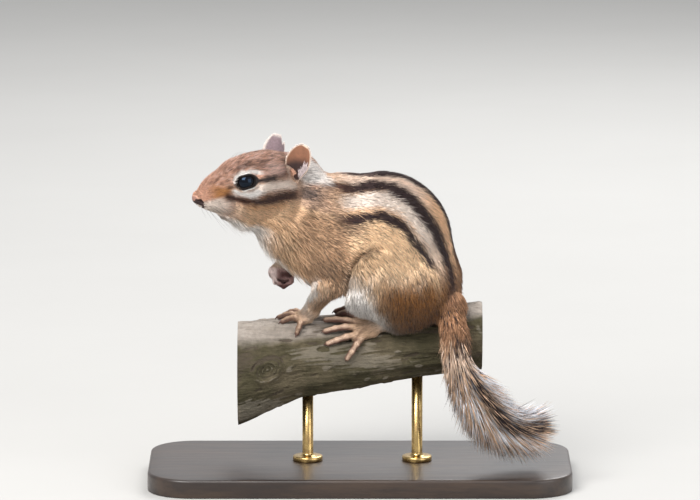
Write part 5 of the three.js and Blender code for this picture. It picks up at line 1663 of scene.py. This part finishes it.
def grow(name, choose, density, seed, slot, width, longer=1.0, lift=0.34, rings=2):
    """Tufts over the part of the skin that choose() keeps, with the body's own lie, length and colour."""
    root, normal = scatter(skin.data, lambda p: density * choose(p), seed)
    bare, _, _ = bareness_of(root)
    kept = bare < 0.3
    root, normal = root[kept], normal[kept]
    weight = shares_of_masses(root)
    lie = weight @ lies
    lie = lie + 0.16 * rng.normal(size=lie.shape)
    lie = unit(lie - (lie * normal).sum(axis=1, keepdims=True) * normal)
    by_ear, _ = from_path(mirrored(to_head(root)), EAR_HOLE)
    hair = (weight @ hairs) * rng.uniform(0.75, 1.2, len(root)) * longer * (0.35 + 0.65 * rise(by_ear, 2, 6))
    colour, ticks = markings(root, weight)
    toes = share_of_toes(weight)
    # Painted shade on the sides of the toes' tufts as well.
    shaded = toes * (1 - share_of(weight, "forefoot_right")) * fall(toe_light(root), 0.25, 0.9) * 0.85
    colour = colour + (TOE_SHADE - colour) * shaded[:, None]
    tone = rng.uniform(0.74, 1.2, len(root))
    dark = rng.uniform(0, 1, len(root)) < ticks
    colour = colour * tone[:, None]
    colour = np.where(dark[:, None], colour * 0.38, colour)
    place, around, _ = round_the_body(root)
    chart = pelt_place(place, np.sign(root[:, 1]) * around)
    wide = width * np.clip(hair / 5, 0.45, 1.15) * rng.uniform(0.8, 1.2, len(root))
    return lay_tufts(name, root, normal, lie, hair, wide, lift, colour, chart, fur, slot, rings, 0.5)


def body_y(p):
    return p[:, 1]


def head_y(p):
    return to_head(p)[:, 1]


def on_head(p):
    """In front of the line across the skull behind the ears."""
    return to_head(p)[:, 0] < 2


def low_limb(p):
    """The feet and the lower legs, but not the haunch that rests on them."""
    return (p[:, 2] < 12) & ~((p[:, 0] > 12) & (p[:, 2] > 3)) & (p[:, 0] < 27)


def raised_paw(p):
    return (p[:, 0] < -15) & (p[:, 2] < 26) & (p[:, 1] > 0)


def limbs(p):
    return low_limb(p) | raised_paw(p)


def trunk(p):
    """All the rest, down to where the tail's own hair begins."""
    return ~on_head(p) & ~limbs(p) & (p[:, 2] > -4)


def back(p):
    return trunk(p) & (p[:, 2] > FLANK_TOP)


def shoulder(p):
    return trunk(p) & (p[:, 2] <= FLANK_TOP) & (p[:, 0] < HAUNCH_FRONT)


def haunch(p):
    return trunk(p) & (p[:, 2] <= FLANK_TOP) & (p[:, 0] >= HAUNCH_FRONT)


def throat(p):
    """Under the jaw and down the chest to the raised paw."""
    h = to_head(p)
    under = (h[:, 0] > -26) & (h[:, 0] < 2) & (h[:, 2] < -10)
    chest = (p[:, 0] < -14) & (p[:, 2] < 42) & (p[:, 2] > 22) & ~raised_paw(p)
    return under | (chest & ~on_head(p))


# Each piece of a side of the coat: its name, the roots it takes, how far they lie to the side, the tufts
# to a square millimetre, their slot, width and rings
COAT_PIECES = [
    ("back", back, body_y, 7.0, "body_fur", 0.37, 2),
    ("shoulder", shoulder, body_y, 7.0, "body_fur", 0.37, 2),
    ("haunch", haunch, body_y, 7.0, "body_fur", 0.37, 2),
    ("head", on_head, head_y, 19, "head_fur", 0.34, 1),
    ("limbs", limbs, body_y, 13, "foot_skin", 0.34, 1),
]
for word, side, seed in [("left", -1, 31), ("right", 1, 41)]:
    for i, (piece, choose, y_of, density, slot, width, rings) in enumerate(COAT_PIECES):
        grow(
            f"coat_{piece}_{word}", lambda p: choose(p) & (y_of(p) * side >= 0), density * quick, seed + i,
            slot, width, rings=rings,
        )
grow("coat_throat", throat, 1.6 * quick, 38, "body_fur", 0.2, longer=1.25, lift=0.7)


# The ears' hair: short and pale along the rim and over the back, with longer tufts at the front edge
# that stand across the opening. It grows from the cup, from its foot towards its tip.
EAR_HAIRS = 2600
EAR_HAIR_BACK = {-1: paint(0.66, 0.50, 0.38), 1: paint(0.62, 0.54, 0.56)}
EAR_HAIR_RIM = paint(0.94, 0.89, 0.86)
EAR_HAIR_FRONT = paint(0.88, 0.82, 0.82)
for word, side in [("left", -1), ("right", 1)]:
    count = int(EAR_HAIRS * quick)
    u = rng.uniform(0.05, 0.98, count) ** 0.8
    v = rng.uniform(-1, 1, count)
    kind = rng.uniform(0, 1, count)
    v = np.where(kind > 0.75, np.sign(v) * (1 - 0.12 * np.abs(v)), v)
    front = (kind > 0.55) & (kind < 0.75) & (u < 0.5)
    v = np.where(front, -side * rng.uniform(0.45, 0.95, count), v)
    up, mouth, across = ear_frame(side)
    middle = ear_sheet(side, u, v)
    rear_wall = np.where(front, 1.0, -1.0)[:, None]
    half = (EAR_THICK / 2 * (1.3 - 0.5 * u) * np.sqrt(1 - 0.9 * v * v))[:, None]
    root = from_head(middle + rear_wall * half * 0.9 * mouth)
    normal = unit(head_turn(rear_wall * mouth + 0.35 * v[:, None] * across))
    lie = head_turn(up + 0.25 * v[:, None] * across + 0.25 * rng.normal(size=(count, 3)))
    lie = unit(lie - (lie * normal).sum(axis=1, keepdims=True) * normal)
    length = np.where(front, 2.6, np.where(kind > 0.75, 0.8, 1.5 - 0.8 * u)) * rng.uniform(0.6, 1.2, count)
    pale = rise(np.abs(v), 0.75, 0.95) + rise(u, 0.85, 0.97)
    tint = EAR_HAIR_BACK[side] + (EAR_HAIR_RIM - EAR_HAIR_BACK[side]) * np.clip(pale, 0, 1)[:, None]
    tint = np.where(front[:, None], EAR_HAIR_FRONT, tint) * rng.uniform(0.75, 1.2, count)[:, None]
    lay_tufts(
        f"ear_hair_{word}", root, normal, lie, length, 0.24 * rng.uniform(0.7, 1.2, count), 0.25, tint,
        pelt_place(u, v), fur, "head_fur",
    )


# The whiskers: fine dark hairs in three rows on each side of the muzzle and a few above the eye, swept
# back and down in a long curve.
WHISKER_ROWS = 3
WHISKERS_IN_ROW = 5
BROW_WHISKERS = 3
WHISKER_RADIUS = 0.055
WHISKER_DARK = (0.035, 0.025, 0.02, 1)
WHISKER_LIGHT = (0.12, 0.09, 0.07, 1)
whisker_horn = Finish("whisker", Roughness=0.4)
whisker_tone = whisker_horn.noise(whisker_horn.place(), 700, 2, 0.5)
whisker_horn.feed(Base_Color=whisker_horn.blend(whisker_tone, WHISKER_DARK, WHISKER_LIGHT))
hairs_of_face = []
for side in (-1, 1):
    for i in range(WHISKER_ROWS * WHISKERS_IN_ROW + BROW_WHISKERS):
        row, place = divmod(i, WHISKERS_IN_ROW)
        root = np.array([-35.6 + 1.4 * place, side * (2.9 + 0.45 * place), -3.4 - 1.1 * row])
        way = np.array([0.28 + 0.1 * place, side * (0.75 - 0.05 * place), 0.22 - 0.42 * row])
        long = rng.uniform(10, 17) * (0.7 + 0.1 * place)
        if row == WHISKER_ROWS:
            root = np.array([-21 + 1.2 * place, side * 6.6, 11.4])
            way = np.array([0.5, side * 0.5, 0.9])
            long = rng.uniform(4, 6)
        way = way / np.linalg.norm(way)
        t = np.linspace(0, 1, 9)[:, None]
        path = root + way * long * t + np.array([0.42, 0.1 * side, -0.34]) * long * t ** 2
        hairs_of_face.append(pipe(from_head(path), WHISKER_RADIUS * (1 - 0.75 * t[:, 0]), 5))
make_mesh("whiskers", *joined(hairs_of_face), whisker_horn, "head_fur")


# The tail's hair: long, coarse and flat-lying at its root, fanning to both sides further down, banded
# tan, black and grey with pale tips.
TAIL_HAIR = 15.0
TAIL_FLOW = np.concatenate([[[43, -6.6, 5.4], [45.2, -12.4, -1.4]], TAIL])
TAIL_GREY = paint(0.94, 0.94, 0.96)
TAIL_HAIRS = 17500
tail_count = int(TAIL_HAIRS * quick)
t = np.linspace(0, 0.97, tail_count) ** 0.95
centre = curve(TAIL_FLOW, t)
ahead = unit(curve(TAIL_FLOW, np.minimum(t + 0.01, 1)) - curve(TAIL_FLOW, np.maximum(t - 0.01, 0)))
across = unit(np.cross(ahead, [0, 1.0, 0]))
deep = np.cross(across, ahead)
turn = rng.uniform(0, 2 * math.pi, tail_count)
out = np.cos(turn)[:, None] * across + np.sin(turn)[:, None] * deep
core_radius = np.interp(t, [0, 0.11, 0.22, 1], [4.9, 4.7, 4.3, 1.6])
fan = np.abs(np.cos(turn))
length = np.interp(t, [0, 0.2, 0.32, 0.6], [5, 7, 10.5, TAIL_HAIR]) * rng.uniform(0.7, 1.1, tail_count)
lean = 0.1 * rise(t, 0, 0.2) + 0.5 * fan * rise(t, 0.2, 0.5) + 0.1 * rng.normal(size=tail_count)
lie = unit(ahead * np.cos(lean)[:, None] + out * np.sin(lean)[:, None])
normal = unit(out - (out * lie).sum(axis=1, keepdims=True) * lie)
root = centre + out * core_radius[:, None]
band = rng.uniform(0, 1, tail_count)
place = t + 0.03 * rng.normal(size=tail_count)
edge_side = np.cos(turn) * np.sign(across[:, 0] + 1e-9)
tail_colour = np.tile(TAN_TAIL, (tail_count, 1))


def tint_tail(tint, cover, share=1.0):
    """Lays a tint over the tufts whose lot falls below the share."""
    global tail_colour
    tail_colour = tail_colour + (tint - tail_colour) * (cover * (band < share))[:, None]


tint_tail(TAIL_GREY, rise(place, 0.25, 0.4), 0.45)
tint_tail(DARK, hump(edge_side, 0.5, 0.3, 0.4) * rise(place, 0.24, 0.38), 0.72)
tint_tail(TAIL_GREY, rise(edge_side, 0.76, 0.95) * rise(place, 0.24, 0.38), 0.8)
tint_tail(PINK_CREAM, hump(place, 0.245, 0.035, 0.05), 0.9)
tint_tail(TAIL_ROOT, fall(place, 0.1, 0.2))
tint_tail(RUMP, fall(place, 0.02, 0.1))
tint_tail(DARK, hump(place, 0.165, 0.035, 0.05) * rise(edge_side, -0.5, 0.1), 0.9)
tail_colour = tail_colour * rng.uniform(0.7, 1.25, tail_count)[:, None]
tail_colour = np.where((rng.uniform(0, 1, tail_count) < 0.13)[:, None], DARK * 1.4, tail_colour)
lay_tufts(
    "tail_hair", root, normal, lie, length, 0.58 * rng.uniform(0.7, 1.3, tail_count), 0.14, tail_colour,
    pelt_place(t, turn), fur, "tail_fur", rings=2, replaced=["tail_brush"],
)


# The floor: a plain pale sheet that runs far behind the stand, in soft light from a large lamp over
# the left shoulder, a broad fill from the right and a lamp behind.
PAPER = (0.50, 0.495, 0.48, 1)
PAPER_LIGHT = (0.53, 0.525, 0.51, 1)
FLOOR_HALF = 6

ground = bpy.data.meshes.new("floor")
floor_corners = [(x * FLOOR_HALF, y * FLOOR_HALF, 0) for x, y in ((-1, -1), (1, -1), (1, 1), (-1, 1))]
ground.from_pydata(floor_corners, [], [(0, 1, 2, 3)])
paper = Finish("pale_floor", Roughness=0.9, Specular_IOR_Level=0.1)
tooth = paper.noise(paper.place(), 8, 3, 0.6)
paper.feed(Base_Color=paper.blend(tooth, PAPER, PAPER_LIGHT))
ground.materials.append(paper.material)
sheet = bpy.data.objects.new("floor", ground)
bpy.context.scene.collection.objects.link(sheet)
sheet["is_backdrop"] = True


def lamp(name, place, size, power, colour=(1, 1, 1)):
    """A square soft lamp aimed at the animal."""
    light = bpy.data.lights.new(name, "AREA")
    light.size = size
    light.energy = power
    light.color = colour
    held = bpy.data.objects.new(name, light)
    held.location = place
    aim = np.array(place) - VIEW_MIDDLE
    flat = math.hypot(aim[0], aim[1])
    held.rotation_euler = (math.atan2(flat, aim[2]), 0, math.atan2(aim[1], aim[0]) + math.pi / 2)
    bpy.context.scene.collection.objects.link(held)


lamp("key", (-0.5, -0.8, 1.0), 0.8, 22, (1, 0.98, 0.96))
lamp("fill", (0.9, -0.7, 0.4), 0.9, 6, (0.97, 0.98, 1))
lamp("rim", (0.3, 0.9, 0.9), 0.7, 10)
world = bpy.data.worlds.new("studio")
world.use_nodes = True
world.node_tree.nodes["Background"].inputs["Color"].default_value = (0.90, 0.91, 0.93, 1)
world.node_tree.nodes["Background"].inputs["Strength"].default_value = 0.64
bpy.context.scene.world = world
bpy.context.scene.view_settings.view_transform = "Standard"

size = {"cad": [list(c) for c in cad_box], "visual": [list(c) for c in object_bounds()]}
